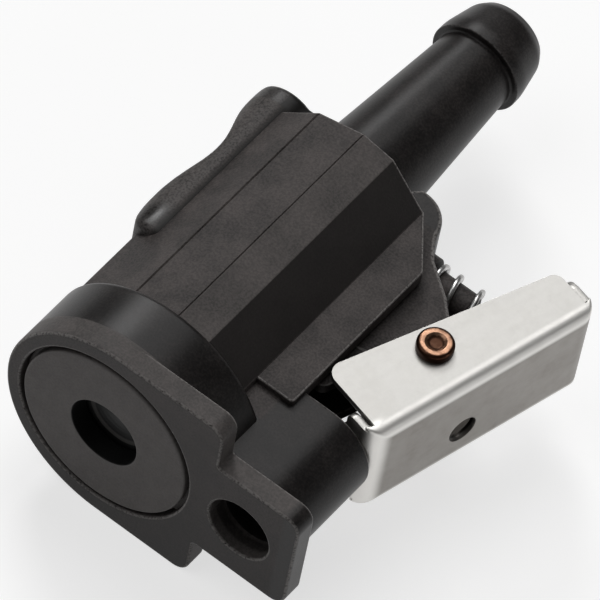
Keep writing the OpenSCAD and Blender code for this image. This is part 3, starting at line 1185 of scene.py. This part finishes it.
    def grip(self, mesh: PieceMesh) -> None:
        """Ring of facets about the valve chamber and the passage.

        Bore points share the facets' angles, so the facets get points close enough for round bores.
        At the rounded ends the grooves run out: their points go to the plain section, whose radius
        along a direction u is the least of (n . c) / (n . u) over its sides with normal n and
        corner c, and from there inwards along u.

        Args:
            mesh: mesh that takes the shell.
        """
        outline = denser(self.grip_outline(), self.grip_step)
        corners, smooth = self.grip_corners(), np.array(self.ridge_r + self.ridge_r[::-1])
        side = unit(np.roll(corners, -1, axis=0) - corners)
        normal = np.stack([side[:, 1], -side[:, 0]], axis=1)
        out = unit(outline)
        edge = np.min(np.sum(normal * corners, axis=1) / np.maximum(out @ normal.T, 1e-6), axis=1)
        gap = np.linalg.norm(outline[:, None] - corners[smooth == 0][None], axis=2)
        grooved = np.min(gap, axis=1) < self.groove_reach
        plain = np.where(grooved[:, None], out * edge[:, None], outline)
        ends = rounded_ends(self.grip_start, self.grip_end, self.grip_edge)
        level = np.ones(len(outline))
        rings = []
        for i, y in ends:
            x, z = (plain - out * i if i > 0 else outline).T
            rings.append(np.stack([x, y * level, z], 1))
        a = np.arctan2(outline[:, 1], outline[:, 0])
        for r, y in ((self.passage_r, self.grip_end), (self.passage_r, self.chamber_end),
                     (self.chamber_r, self.chamber_end), (self.chamber_r, self.grip_start)):
            rings.append(np.stack([r * np.cos(a), y * level, r * np.sin(a)], 1))
        # The grip's rounded ends are worn pale and carry a painted highlight.
        wear_and_painted_light = np.concatenate([end_wear_and_highlight(ends, self.grip_edge), np.zeros(4)])
        mesh.ring_loft(np.stack(rings), closed=True, wear_and_painted_light=np.repeat(wear_and_painted_light, len(outline)))

    def wings(self, mesh: PieceMesh) -> None:
        """Two plates beside the latch, each with a slanted rear end.

        Args:
            mesh: mesh that takes the shells.
        """
        (front, rear), root, side = self.wing_y, self.wing_root_x, self.wing_x
        outline = rounded([[root, front], [side, front], [side, rear], [self.ridges[0][0], self.grip_end],
                           [root, self.grip_end]], [0, 0.5, 0.6, 0.1, 0])
        low, high = self.wing_top - self.wing_t, self.wing_top
        mesh.prism(outline, low, high, self.wing_edge, Axis.Z)
        mesh.prism(outline, -high, -low, self.wing_edge, Axis.Z)

    def rest_profile(self) -> tuple[Array, Array]:
        """Stations of the finger rest along Y and how far it reaches out at each.

        The reach follows a steep power curve at the front, a cosine saddle between the two crests
        and a quarter circle at the rear.

        Returns:
            The stations and the reaches.
        """
        (first, last), (front, rear) = self.rest_y, self.crest_y
        low, r = self.rest_x - self.crest_drop, last - rear
        a = np.radians(np.linspace(0, 90, 10))
        b = np.radians([0, 1, 3, 6, 10, 15, 20, 27, 35, 44, 54, 66, 78, 90])
        k = np.linspace(0, 1, 26)[1:-1]
        hollow = self.saddle / 2 * (1 - np.cos(2 * np.pi * k))
        y = np.concatenate([front - (front - first) * np.cos(b), front + (rear - front) * k,
                            rear + r * np.sin(a)])
        reach = np.concatenate([self.nose_x + (low - self.nose_x) * np.sin(b) ** self.nose_power,
                                low + (self.rest_x - low) * k - hollow, self.rest_x - r * (1 - np.cos(a))])
        return y, reach

    def finger_rest(self, mesh: PieceMesh) -> None:
        """Bead with a saddle for a finger.

        At each station along Y the section is a tongue whose corners are circles about a fixed
        line, cut off softly at the station's reach: -s log(exp(-x / s) + exp(-reach / s)). Past the
        top the circles run on, so that a crease stays between the bead and the grip, and it gets painted
        shade. The half height shrinks by a quarter circle at both ends.

        Args:
            mesh: mesh that takes the shell.
        """
        y, reach = self.rest_profile()
        end, corner, soft = self.rest_end_r, self.rest_r, self.rest_blend
        close = np.maximum(self.rest_y[0] + end - y, y - (self.rest_y[1] - end))
        half = (self.rest_half - quarter(end, np.clip(close, 0, end)))[:, None]
        first, change, last = self.rest_roots
        root = np.where(y > change, last, first)[:, None]
        b = np.radians([0, 6, 12, 18, 24, 30, 36, 42, 48, 54, 60, 66, 72, 77, 82, 86, 89, 92, 95, 98, 103,
                        112, 124])
        arc = self.rest_x - corner + corner * np.cos(b)
        arc, far = np.concatenate([arc[::-1], arc])[None, :], reach[:, None]
        across = np.minimum(arc, far) - soft * np.log(1 + np.exp(-np.abs(arc - far) / soft))
        across = np.concatenate([root, across, root], 1)
        upper = half - corner + corner * np.sin(b)
        tall = np.concatenate([-upper[:, -1:], -upper[:, ::-1], upper, upper[:, -1:]], 1)
        start, stop = np.radians(self.crease_deg)
        # Worn pale over the bead's top, painted shade in the crease past it and at both roots.
        handled_and_shaded = self.rest_wear - (1 + self.rest_wear) * np.clip((b - start) / (stop - start), 0, 1)
        wear_and_painted_light = np.concatenate([[-1.0], handled_and_shaded[::-1], handled_and_shaded, [-1.0]])
        rings = np.broadcast_arrays(-across, y[:, None], tall)
        mesh.ring_loft(np.stack(rings, -1), wear_and_painted_light=np.tile(wear_and_painted_light, len(y)))

    def lug(self, mesh: PieceMesh) -> None:
        """Ear from the grip to the latch rivet and the spring seat, with a round lobe behind it.

        Two thinner cheeks reach forward above and below the guide pin's tip, and a ring stands
        proud about the rivet.

        Args:
            mesh: mesh that takes the shells.
        """
        x, y = self.pivot
        ear, lobe = circle(x, y, self.ear_r, 22, -110, 40), circle(*self.lobe, 22, 8, 98)
        outline = np.concatenate([ear, self.neck, lobe, self.lug_root])
        turns = (0.0,) * len(ear) + self.neck_turns + (0.0,) * len(lobe) + self.lug_root_r
        bore = circle(x, y, self.pin_bore_r, 48)
        mesh.prism(rounded(outline, turns), -self.lug_half, self.lug_half, self.lug_edge, Axis.Z, [bore])
        for low in self.cheek_z:
            mesh.prism(rounded(self.cheek, self.cheek_r), low, low + self.cheek_t, 0.2, Axis.Z)
        half, inner, outer = self.washer_half, self.pin_bore_r, self.washer_r
        ring = rounded([[-half, inner], [-half, outer], [half, outer], [half, inner]], [0, 0.2, 0.2, 0], 3)
        mesh.lathe(ring, Axis.Z, (x, y), Rim.RING, 48)

    def peg(self, mesh: PieceMesh) -> None:
        """Seat and peg of the latch spring: a profile of two steps, turned about the spring's axis.

        Args:
            mesh: mesh that takes the shell.
        """
        (root, seat), end, wide, slim = self.seat_x, self.peg_end, self.seat_r, self.peg_r
        corners = [[root, 1.0], [root, wide], [seat, wide], [seat, slim], [end, slim], [end, 1.0]]
        sides = rounded(corners, [0, 0, 0.2, 0.05, 0.55, 0], 5)[1:-1]
        profile = np.concatenate([[[root, 0.0]], sides, [[end, 0.0]]])
        mesh.lathe(profile, Axis.X, (self.spring_y, 0.0), Rim.POLES, 48)

    def barb(self, mesh: PieceMesh) -> None:
        """Tapered tube with a root fillet, the lip that holds the hose and a rounded end.

        Its profile turns about the passage. The fillet's radius falls off with a power of the way
        along it. The lip's crest gets a painted highlight, which goes as exp(-d d / s) at a distance d from
        it.

        Args:
            mesh: mesh that takes the shell.
        """
        lip, end, bore = self.lip_y, self.barb_end, self.passage_r
        t = np.linspace(0, 1, 9)
        (start, run), (r, more) = self.fillet_y, self.fillet_r
        fillet = np.stack([self.grip_end + start + run * t, r + more * (1 - t) ** self.fillet_power], 1)
        corners = [self.barb_start, *fillet.tolist(), [lip, self.tube_r], [lip, self.lip_r],
                   [lip + self.lip_t, self.lip_r], [end - self.cone_t, self.cone_r[0]], [end, self.cone_r[1]],
                   [end, bore], [self.barb_start[0], bore]]
        profile = rounded(corners, (0.0,) * (1 + len(fillet)) + self.barb_turns, 5)
        # Painted highlight along the lip's crest.
        off = np.sum((profile - [lip + SUPPORT, self.lip_r - SUPPORT]) ** 2, axis=1)
        crest = self.lip_highlight * np.exp(-off / self.lip_highlight_spread)
        mesh.lathe(profile, Axis.Y, (0.0, 0.0), Rim.RING, 112, crest)

    def build(self, finish: MouldedPlastic) -> bpy.types.Object:
        """Makes the moulding from its shells.

        Args:
            finish: its plastic.

        Returns:
            The moulding's object.
        """
        mesh = PieceMesh("body_moulding")
        for part in (self.flange, self.barrel, self.boss, self.grip, self.wings, self.finger_rest, self.lug,
                     self.peg, self.barb):
            part(mesh)
        return mesh.make("shell", finish.material(), ["body"])


# ---------------------------------------------------------------- seal and valve


@dataclass
class FaceSeal:
    """Rubber disc in the counterbore, with a thicker face and a thin rim that holds it."""

    face_r: float = 10.45
    rim_r: float = 10.97
    port_r: float = 4.2
    depth: float = 2.48
    rim_front: float = 1.2
    turns: tuple[float, ...] = (0.18, 0.25, 0.15, 0.2, 0.1, 0.2)
    # Place and strength of the painted highlights on the port's and the face's rims, and their spread.
    port_lip: Pair = (0.05, 1.0)
    face_lip: Pair = (-0.07, 0.6)
    lip_spread: float = 0.02

    def build(self, finish: SealRubber) -> bpy.types.Object:
        """Turns the disc's section about the passage.

        Both rims of the face get a painted highlight: a share of exp(-d d / s) at a distance d.

        Args:
            finish: its rubber.

        Returns:
            The seal's object.
        """
        corners = [[0, self.port_r], [0, self.face_r], [self.rim_front, self.face_r],
                   [self.rim_front, self.rim_r], [self.depth, self.rim_r], [self.depth, self.port_r]]
        profile = rounded(corners, self.turns, 5)
        # Painted highlights on both rims of the face.
        wear_and_painted_light = np.zeros(len(profile))
        for r, (shift, share) in ((self.port_r, self.port_lip), (self.face_r, self.face_lip)):
            off = np.sum((profile - [SUPPORT, r + shift]) ** 2, axis=1)
            wear_and_painted_light = wear_and_painted_light + share * np.exp(-off / self.lip_spread)
        mesh = PieceMesh("face_seal_disc")
        mesh.lathe(profile, Axis.Y, (0, 0), Rim.RING, 120, np.clip(wear_and_painted_light, 0, 1))
        return mesh.make("shell", finish.material(), ["face_seal"])


@dataclass
class CheckValve:
    """Valve plunger, which keeps its CAD solid, and the spring behind it."""

    spring_front: float = 5.8
    spring_rear: float = 27.0
    coil_r: float = 4.05
    wire: float = 0.7
    turns: float = 8.0
    travel: float = 3.5

    def dress(self, finish: ValvePlastic) -> None:
        """Gives the plunger's CAD node its finish.

        Args:
            finish: its plastic.
        """
        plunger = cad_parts["valve_plunger"]
        material = finish.material()
        for place in plunger.material_slots:
            place.material = material
        LOG.info("valve_plunger: CAD node with its own finish")

    def build(self, finish: SpringWire) -> bpy.types.Object:
        """Winds the valve spring.

        Args:
            finish: its wire.

        Returns:
            The spring's object.
        """
        mesh = PieceMesh("valve_spring_wire")
        length = self.spring_rear - self.spring_front
        mesh.coil((0, self.spring_front, 0), (0, 1, 0), (1, 0, 0), self.coil_r, self.wire, length, self.turns)
        piece = mesh.make("shell", finish.material(), ["valve_spring"])
        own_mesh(piece)
        return piece


# ---------------------------------------------------------------- latch


@dataclass
class LatchLever:
    """Lever folded from one sheet: web, two flanges, hook at the front and a rear end wall.

    The sizes are in the lever's own axes through its pivot: x out to the web, y along it and z
    across it. The tilt brings them into the part's frame.
    """

    pivot: Pair = (20.9, 27.5)
    tilt: float = 14.2
    web: float = 5.697
    half: float = 6.65
    sheet: float = 0.8
    edge_r: float = 0.12
    fold: float = 1.3
    bend: float = 2.2
    front: float = -12.2
    rear: float = 17.6
    flange_front: float = -11.2
    flange_rear: float = 16.7
    edge_front: float = -4.0
    edge_rear: float = -0.6
    edge_front_r: float = 1.6
    edge_rear_r: float = 1.2
    slot_depth: float = 1.5
    hook_tip: float = 1.2
    hook_half: float = 6.1
    hook_corner: float = 0.9
    wall_tip: float = 0.4
    wall_half: float = 6.3
    wall_corner: float = 1.6
    notch_x: float = -0.37
    notch_r: float = 2.62
    notch_stretch: float = 1.03
    hole: Pair = (0.6, -1.75)
    hole_r: float = 1.75
    cell: float = 0.4
    patch: int = 8
    open_cells: int = 5
    slack: float = 1e-6

    def patch_lines(self, centre: float) -> Array:
        """Returns the evenly spaced lines of the square patch around the hole, in one direction."""
        return centre + self.cell * np.arange(-self.patch, self.patch + 1)

    def lines_across(self) -> tuple[Array, Array, Array]:
        """Lines that run along the lever, from one flange's edge over the web to the other's.

        Returns:
            Their place z, how far they lie below the web, and their share of the flange's depth
            past the slots' roots, which is 0 on the web and the folds.
        """
        flat = self.half - self.fold
        centre = self.patch_lines(self.hole[1])
        rest = np.arange(centre[-1] + self.cell, flat - self.cell / 2, self.cell)
        inner = np.concatenate([[-flat], centre, rest, [flat]])
        walls = np.arcsin((np.array([self.hook_half, self.wall_half]) - flat) / self.fold)
        angle = np.unique(np.concatenate([np.radians([9, 18, 27, 57, 68, 79, 90]), walls]))
        share = np.concatenate([[0], np.sin(np.radians(np.linspace(3, 90, 16)))])
        side_z = np.concatenate([flat + self.fold * np.sin(angle), np.full(len(share), self.half)])
        side_d = np.concatenate([self.fold * (1 - np.cos(angle)), np.full(len(share), self.slot_depth)])
        side_s = np.concatenate([np.zeros(len(angle)), share])
        none = np.zeros(len(inner))
        z = np.concatenate([-side_z[::-1], inner, side_z])
        return z, np.concatenate([side_d[::-1], none, side_d]), np.concatenate([side_s[::-1], none, side_s])

    def bend_angles(self, edge: float) -> Array:
        """Angles along an end bend, dense up to where the flange's corner starts.

        Args:
            edge: how far the flange reaches past the start of the bend.

        Returns:
            The angles in radians, ascending.
        """
        start, steepest = np.arcsin(edge / self.bend), np.arccos(1 - self.slot_depth / self.bend)
        dense = start * np.array([0.25, 0.45, 0.62, 0.76, 0.87, 0.94, 0.98, 1.0])
        return np.unique(np.concatenate([dense, np.linspace(start, steepest, 7)]))

    def lines_along(self) -> tuple[Array, Array, Array]:
        """Lines that run across the lever, from the hook's tip over the web to the rear wall's tip.

        Returns:
            Their place y, how far they lie below the web, and their share of the end wall past the
            slots' roots: negative in front, positive behind, 0 on the web and its two bends.
        """
        front_y, rear_y = self.front + self.bend, self.rear - self.bend
        a = self.bend_angles(front_y - self.flange_front)[::-1]
        b = self.bend_angles(self.flange_rear - rear_y)
        middle = self.patch_lines(self.hole[0])
        flat = np.concatenate([[front_y, front_y + 0.2, front_y + 0.4],
                               np.linspace(front_y + 0.9, middle[0] - 0.5, 10), middle,
                               np.linspace(middle[-1] + 0.6, rear_y - 0.3, 16), [rear_y]])
        share = np.concatenate([[0.07, 0.15, 0.23], np.linspace(0.35, 0.85, 6), [0.92, 0.97, 1.0]])
        wall, none = np.ones(len(share)), np.zeros(len(flat))
        y = np.concatenate([wall * self.front, front_y - self.bend * np.sin(a), flat,
                            rear_y + self.bend * np.sin(b), wall * self.rear])
        d = np.concatenate([wall * self.slot_depth, self.bend * (1 - np.cos(a)), none,
                            self.bend * (1 - np.cos(b)), wall * self.slot_depth])
        return y, d, np.concatenate([-share[::-1], 0 * a, none, 0 * b, share])

    def flange_reach(self, y: Array) -> Array:
        """Depth of a flange's inner edge below the web: a slanted line, a quarter circle at each end.

        Args:
            y: places along the lever.

        Returns:
            The depth at each.
        """
        r0, r1 = self.edge_front_r, self.edge_rear_r
        y0, y1 = self.flange_front + r0, self.flange_rear - r1
        edge = self.edge_front + (self.edge_rear - self.edge_front) * np.clip((y - y0) / (y1 - y0), 0, 1)
        ends = quarter(r0, np.clip(y0 - y, 0, r0)) + quarter(r1, np.clip(y - y1, 0, r1))
        return self.web - edge - ends

    def wall_reach(self, z: Array, tip: float, half: float, corner: float) -> Array:
        """Depth of an end wall's tip below the web, with round corners."""
        return self.web - tip - quarter(corner, np.clip(np.abs(z) - (half - corner), 0, corner))

    def hook_reach(self, z: Array) -> Array:
        """Depth of the hook's tip below the web: an end wall's, cut back by the notch's arc.

        Args:
            z: places across the lever.

        Returns:
            The depth at each.
        """
        plain = self.wall_reach(z, self.hook_tip, self.hook_half, self.hook_corner)
        arc = np.sqrt(np.clip(self.notch_r ** 2 - z ** 2, 0, None)) * self.notch_stretch
        notch = np.minimum(plain, self.web - self.notch_x - arc)
        return np.where(np.abs(z) < self.notch_r, notch, plain)

    def around_hole(self, y: Array, z: Array, depth: Array) -> tuple[Array, Array, Array]:
        """Moves the points of the patch around the web's hole from squares to circles.

        The patch's inner square goes to the hole's circle, its outer one stays, and between them
        the points move by their share of the way.

        Args:
            y: place along the lever, for each point.
            z: place across it.
            depth: depth below the web.

        Returns:
            The new y and z, and how far each point was from the hole, as a share of the patch.
        """
        reach, inner = self.patch * self.cell, self.open_cells / self.patch
        p, q = (y - self.hole[0]) / reach, (z - self.hole[1]) / reach
        square = np.maximum(np.abs(p), np.abs(q))
        near = (square <= 1) & (square > inner - 0.01) & (depth < self.slack)
        f, angle = np.clip((square - inner) / (1 - inner), 0, 1), np.arctan2(q, p)
        round_y = (1 - f) * (self.hole[0] + self.hole_r * np.cos(angle)) + f * y
        round_z = (1 - f) * (self.hole[1] + self.hole_r * np.sin(angle)) + f * z
        return np.where(near, round_y, y), np.where(near, round_z, z), square

    def kept_quads(self, y: Array, s_end: Array, z: Array, s_side: Array, square: Array,
                   depth: Array) -> Array:
        """Chooses the cells of the grid that are sheet: none past a slot, an edge or the hole's rim.

        Args:
            y: place of each line across the lever.
            s_end: its share of the end wall.
            z: place of each line along the lever.
            s_side: its share of the flange.
            square: distance of each point from the hole, as a share of the patch.
            depth: depth of each point below the web.

        Returns:
            The quads that are kept.
        """
        quads = PieceMesh.grid_faces(len(y), len(z), False, False)
        i, j = quads[:, 0] // len(z), quads[:, 0] % len(z)
        flange = (s_side[j] > 0) | (s_side[j + 1] > 0)
        hook, wall = s_end[i] < 0, s_end[i + 1] > 0
        wide = np.maximum(np.abs(z[j]), np.abs(z[j + 1])) - self.slack
        past = (y[i] < self.flange_front - self.slack) | (y[i + 1] > self.flange_rear + self.slack)
        cut = flange & (hook | wall | past)
        cut |= (hook & (wide > self.hook_half)) | (wall & (wide > self.wall_half))
        inside = square.reshape(-1)[quads].max(axis=1) < self.open_cells / self.patch + 0.01
        cut |= inside & (depth.reshape(-1)[quads].max(axis=1) < self.slack)
        return quads[~cut]

    def skin(self) -> tuple[Array, Array]:
        """Outer skin of the sheet as one grid of lines along and across the lever.

        Going down from the web, a point's depth is the cube root of the sum of the cubes of two
        depths: the one that its line along the lever has from the fold and flange, and the one
        that its line across has from the end bend and wall. So both run into each other in
        rounded corners. An end bend is a quarter circle of its own depth.

        Returns:
            The points in the part's frame and the quads that are kept.
        """
        z, d_side, s_side = self.lines_across()
        y, d_end, s_end = self.lines_along()
        at_z, at_y = np.meshgrid(z, y)
        front, rear = (s_end < 0)[:, None], (s_end > 0)[:, None]
        wall = self.wall_reach(at_z, self.wall_tip, self.wall_half, self.wall_corner)
        reach = np.where(front, self.hook_reach(at_z), wall) - self.slot_depth
        end = d_end[:, None] + np.abs(s_end)[:, None] * reach
        side = d_side[None] + s_side[None] * (self.flange_reach(at_y) - self.slot_depth)
        bent = quarter(self.bend, np.clip(self.bend - end, 0, None))
        at_y = np.where(front, self.front + bent, np.where(rear, self.rear - bent, at_y))
        depth = np.cbrt(end ** 3 + side ** 3)
        at_y, at_z, square = self.around_hole(at_y, at_z, depth)
        at_x, t = self.web - depth, math.radians(self.tilt)
        points = np.stack([self.pivot[0] + at_x * math.cos(t) + at_y * math.sin(t),
                           self.pivot[1] - at_x * math.sin(t) + at_y * math.cos(t), at_z], -1)
        return points.reshape(-1, 3), self.kept_quads(y, s_end, z, s_side, square, depth)

    def build(self, finish: SatinSheet) -> bpy.types.Object:
        """Makes the folded sheet: its skin, then its thickness inwards, then its softened edges.

        Args:
            finish: its sheet metal.

        Returns:
            The lever's object.
        """
        points, quads = self.skin()
        a, b, c = (points[quads[:, k]] for k in range(3))
        outward = points[quads].mean(axis=1) - [self.pivot[0] - 3, self.pivot[1], 0]
        if np.sum(np.cross(b - a, c - a) * outward) < 0:
            quads = quads[:, ::-1]
        mesh = PieceMesh("latch_lever_sheet")
        mesh.add(points, quads, closed=False)
        piece = mesh.make("latch", finish.material(), ["latch_lever"], sharp=60)
        wall = piece.modifiers.new("sheet", "SOLIDIFY")
        wall.thickness, wall.offset, wall.use_even_offset = self.sheet * MM, -1.0, True
        edge = piece.modifiers.new("edges", "BEVEL")
        edge.width, edge.segments = self.edge_r * MM, 2
        edge.limit_method, edge.angle_limit = "ANGLE", math.radians(50)
        return piece


@dataclass
class LatchRivet:
    """Rivet through the lug and both flanges, with a low dimpled head at each end."""

    pivot: Pair = (20.9, 27.5)
    shank_r: float = 1.5
    head_r: float = 2.05
    seat: float = 6.64
    crown: float = 7.78
    rim_drop: float = 0.05
    dimple_r: Pair = (1.2, 0.65)
    dimple_depth: float = 0.32
    turns: tuple[float, ...] = (0.0, 0.0, 0.0, 0.1, 0.62, 0.35, 0.5, 0.0)

    def build(self, finish: CopperRivet) -> bpy.types.Object:
        """Turns the rivet about its axis: a low head with a round edge and a wide dimple at each end.

        Args:
            finish: its metal.

        Returns:
            The rivet's object.
        """
        crown, floor = self.crown, self.crown - self.dimple_depth
        corners = [[0.0, 0.0], [0.0, self.shank_r], [self.seat, self.shank_r], [self.seat, self.head_r],
                   [crown - self.rim_drop, self.head_r], [crown, self.dimple_r[0]], [floor, self.dimple_r[1]],
                   [floor, 0.0]]
        top = rounded(corners, self.turns, 7)[1:]
        profile = np.concatenate([(top * [-1, 1])[::-1], top[1:]])
        mesh = PieceMesh("latch_rivet")
        mesh.lathe(profile, Axis.Z, self.pivot, Rim.POLES, 64)
        return mesh.make("latch", finish.material(), ["latch_pin"])


@dataclass
class LatchSpring:
    """Compression spring on the peg, which pushes the rear of the lever outwards."""

    seat_x: float = 13.2
    end_x: float = 27.92
    y: float = 38.05
    outer_r: float = 2.6
    wire: float = 0.65
    turns: float = 6.5
    start: Point = (0.0, -0.974, -0.2265)
    keep: float = 0.87

    def build(self, finish: SpringWire) -> bpy.types.Object:
        """Winds the spring from its seat.

        Args:
            finish: its wire.

        Returns:
            The spring's object.
        """
        mesh = PieceMesh("latch_spring_wire")
        mesh.coil((self.seat_x, self.y, 0), (1, 0, 0), self.start, self.outer_r - self.wire / 2, self.wire,
                  self.end_x - self.seat_x, self.turns)
        piece = mesh.make("shell", finish.material(), ["latch_spring"])
        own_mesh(piece)
        return piece


# ---------------------------------------------------------------- studio


@dataclass
class Studio:
    """Camera, soft lamps and a pale floor.

    A lamp is a name, the direction from the part to it, its irradiance, and its apparent size in
    degrees, which softens shadows and highlights.
    """

    right: Point = (0.7839, 0.6086, 0.1234)
    down: Point = (0.5574, -0.6021, -0.5716)
    forward: Point = (-0.2736, 0.5169, -0.8112)
    offset_mm: Point = (-20.107, 13.604, 1000.0)
    lens: float = 586.6
    floor_z: float = -13.3
    floor_half_m: float = 4.0
    floor_greys: Pair = (0.47, 0.49)
    floor_lift: float = 0.66
    surround: float = 0.11
    lamps: tuple[tuple[str, Point, float, float], ...] = (
        ("key", (-0.59, 0.52, 0.62), 0.92, 18.0),
        ("overhead", (-0.16, 0.42, 0.89), 0.78, 36.0),
        ("front", (-0.42, -0.34, 0.84), 0.38, 40.0),
        ("rim", (0.93, 0.21, 0.29), 0.16, 18.0))

    def camera(self) -> None:
        """Places the camera of the photograph: where its rotation takes the offset to the origin."""
        left, _, other = np.linalg.svd(np.array([self.right, self.down, self.forward]))
        turn = left @ other
        data = bpy.data.cameras.new("camera")
        data.lens, data.sensor_width, data.clip_start, data.clip_end = self.lens, 36.0, 0.05, 20.0
        camera = bpy.data.objects.new("camera", data)
        pose = Matrix(np.column_stack([turn[0], -turn[1], -turn[2]]).tolist()).to_4x4()
        pose.translation = Vector(-turn.T @ np.array(self.offset_mm) * MM)
        camera.matrix_world = pose
        bpy.context.scene.collection.objects.link(camera)
        bpy.context.scene.camera = camera

    def lamp(self, name: str, towards: Point, strength: float, spread: float) -> None:
        """Adds a distant lamp whose light falls from a direction.

        Args:
            name: name of the lamp.
            towards: direction from the part to the lamp.
            strength: its irradiance.
            spread: its apparent size in degrees.
        """
        data = bpy.data.lights.new(name, "SUN")
        data.energy, data.angle = strength, math.radians(spread)
        lamp = bpy.data.objects.new(name, data)
        lamp.matrix_world = Vector(towards).to_track_quat("Z", "Y").to_matrix().to_4x4()
        bpy.context.scene.collection.objects.link(lamp)

    def world(self) -> None:
        """Sets an even, dim surround."""
        world = bpy.data.worlds.new("surround")
        world.use_nodes = True
        back = world.node_tree.nodes["Background"]
        back.inputs["Color"].default_value = (1.0, 1.0, 1.0, 1.0)
        back.inputs["Strength"].default_value = self.surround
        bpy.context.scene.world = world

    def floor(self) -> None:
        """Lays a wide pale floor just under the part, lifted to white where it is seen or mirrored."""
        half, z = self.floor_half_m, self.floor_z * MM
        corners = [(-half, -half, z), (half, -half, z), (half, half, z), (-half, half, z)]
        mesh = bpy.data.meshes.new("floor")
        mesh.from_pydata(corners, [], [(0, 1, 2, 3)])
        g = Graph("floor_paper")
        tooth = g.noise(g.node("ShaderNodeTexCoord", output="Object"), 30.0, 2.0)
        camera, glossy, through = (g.node("ShaderNodeLightPath", output=f"Is {kind} Ray")
                                   for kind in ("Camera", "Glossy", "Transmission"))
        seen = camera.math("MAXIMUM", glossy.math("MAXIMUM", through))
        dark, light = ((grey,) * 3 for grey in self.floor_greys)
        lift = g.blend(seen, (0.0, 0.0, 0.0), (self.floor_lift,) * 3)
        paper = g.finish(Base_Color=g.blend(tooth, dark, light), Roughness=0.9, Specular_IOR_Level=0.2,
                         Emission_Strength=1.0, Emission_Color=lift)
        mesh.materials.append(paper)
        floor = bpy.data.objects.new("floor", mesh)
        bpy.context.scene.collection.objects.link(floor)

    def build(self) -> None:
        """Sets up the whole studio and the plain view transform."""
        bpy.context.scene.view_settings.view_transform = "Standard"
        self.camera()
        self.floor()
        self.world()
        for lamp in self.lamps:
            self.lamp(*lamp)


def main() -> None:
    """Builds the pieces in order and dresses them."""
    logging.basicConfig(level=logging.INFO, format="%(name)s: %(message)s")
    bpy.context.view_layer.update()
    Studio().build()
    BodyMoulding().build(MouldedPlastic())
    FaceSeal().build(SealRubber())
    valve = CheckValve()
    valve.dress(ValvePlastic())
    valve.build(SpringWire())
    LatchLever().build(SatinSheet())
    LatchRivet().build(CopperRivet())
    LatchSpring().build(SpringWire("latch_spring_wire"))
    LOG.info("boxes written")


if __name__ == "__main__":
    main()
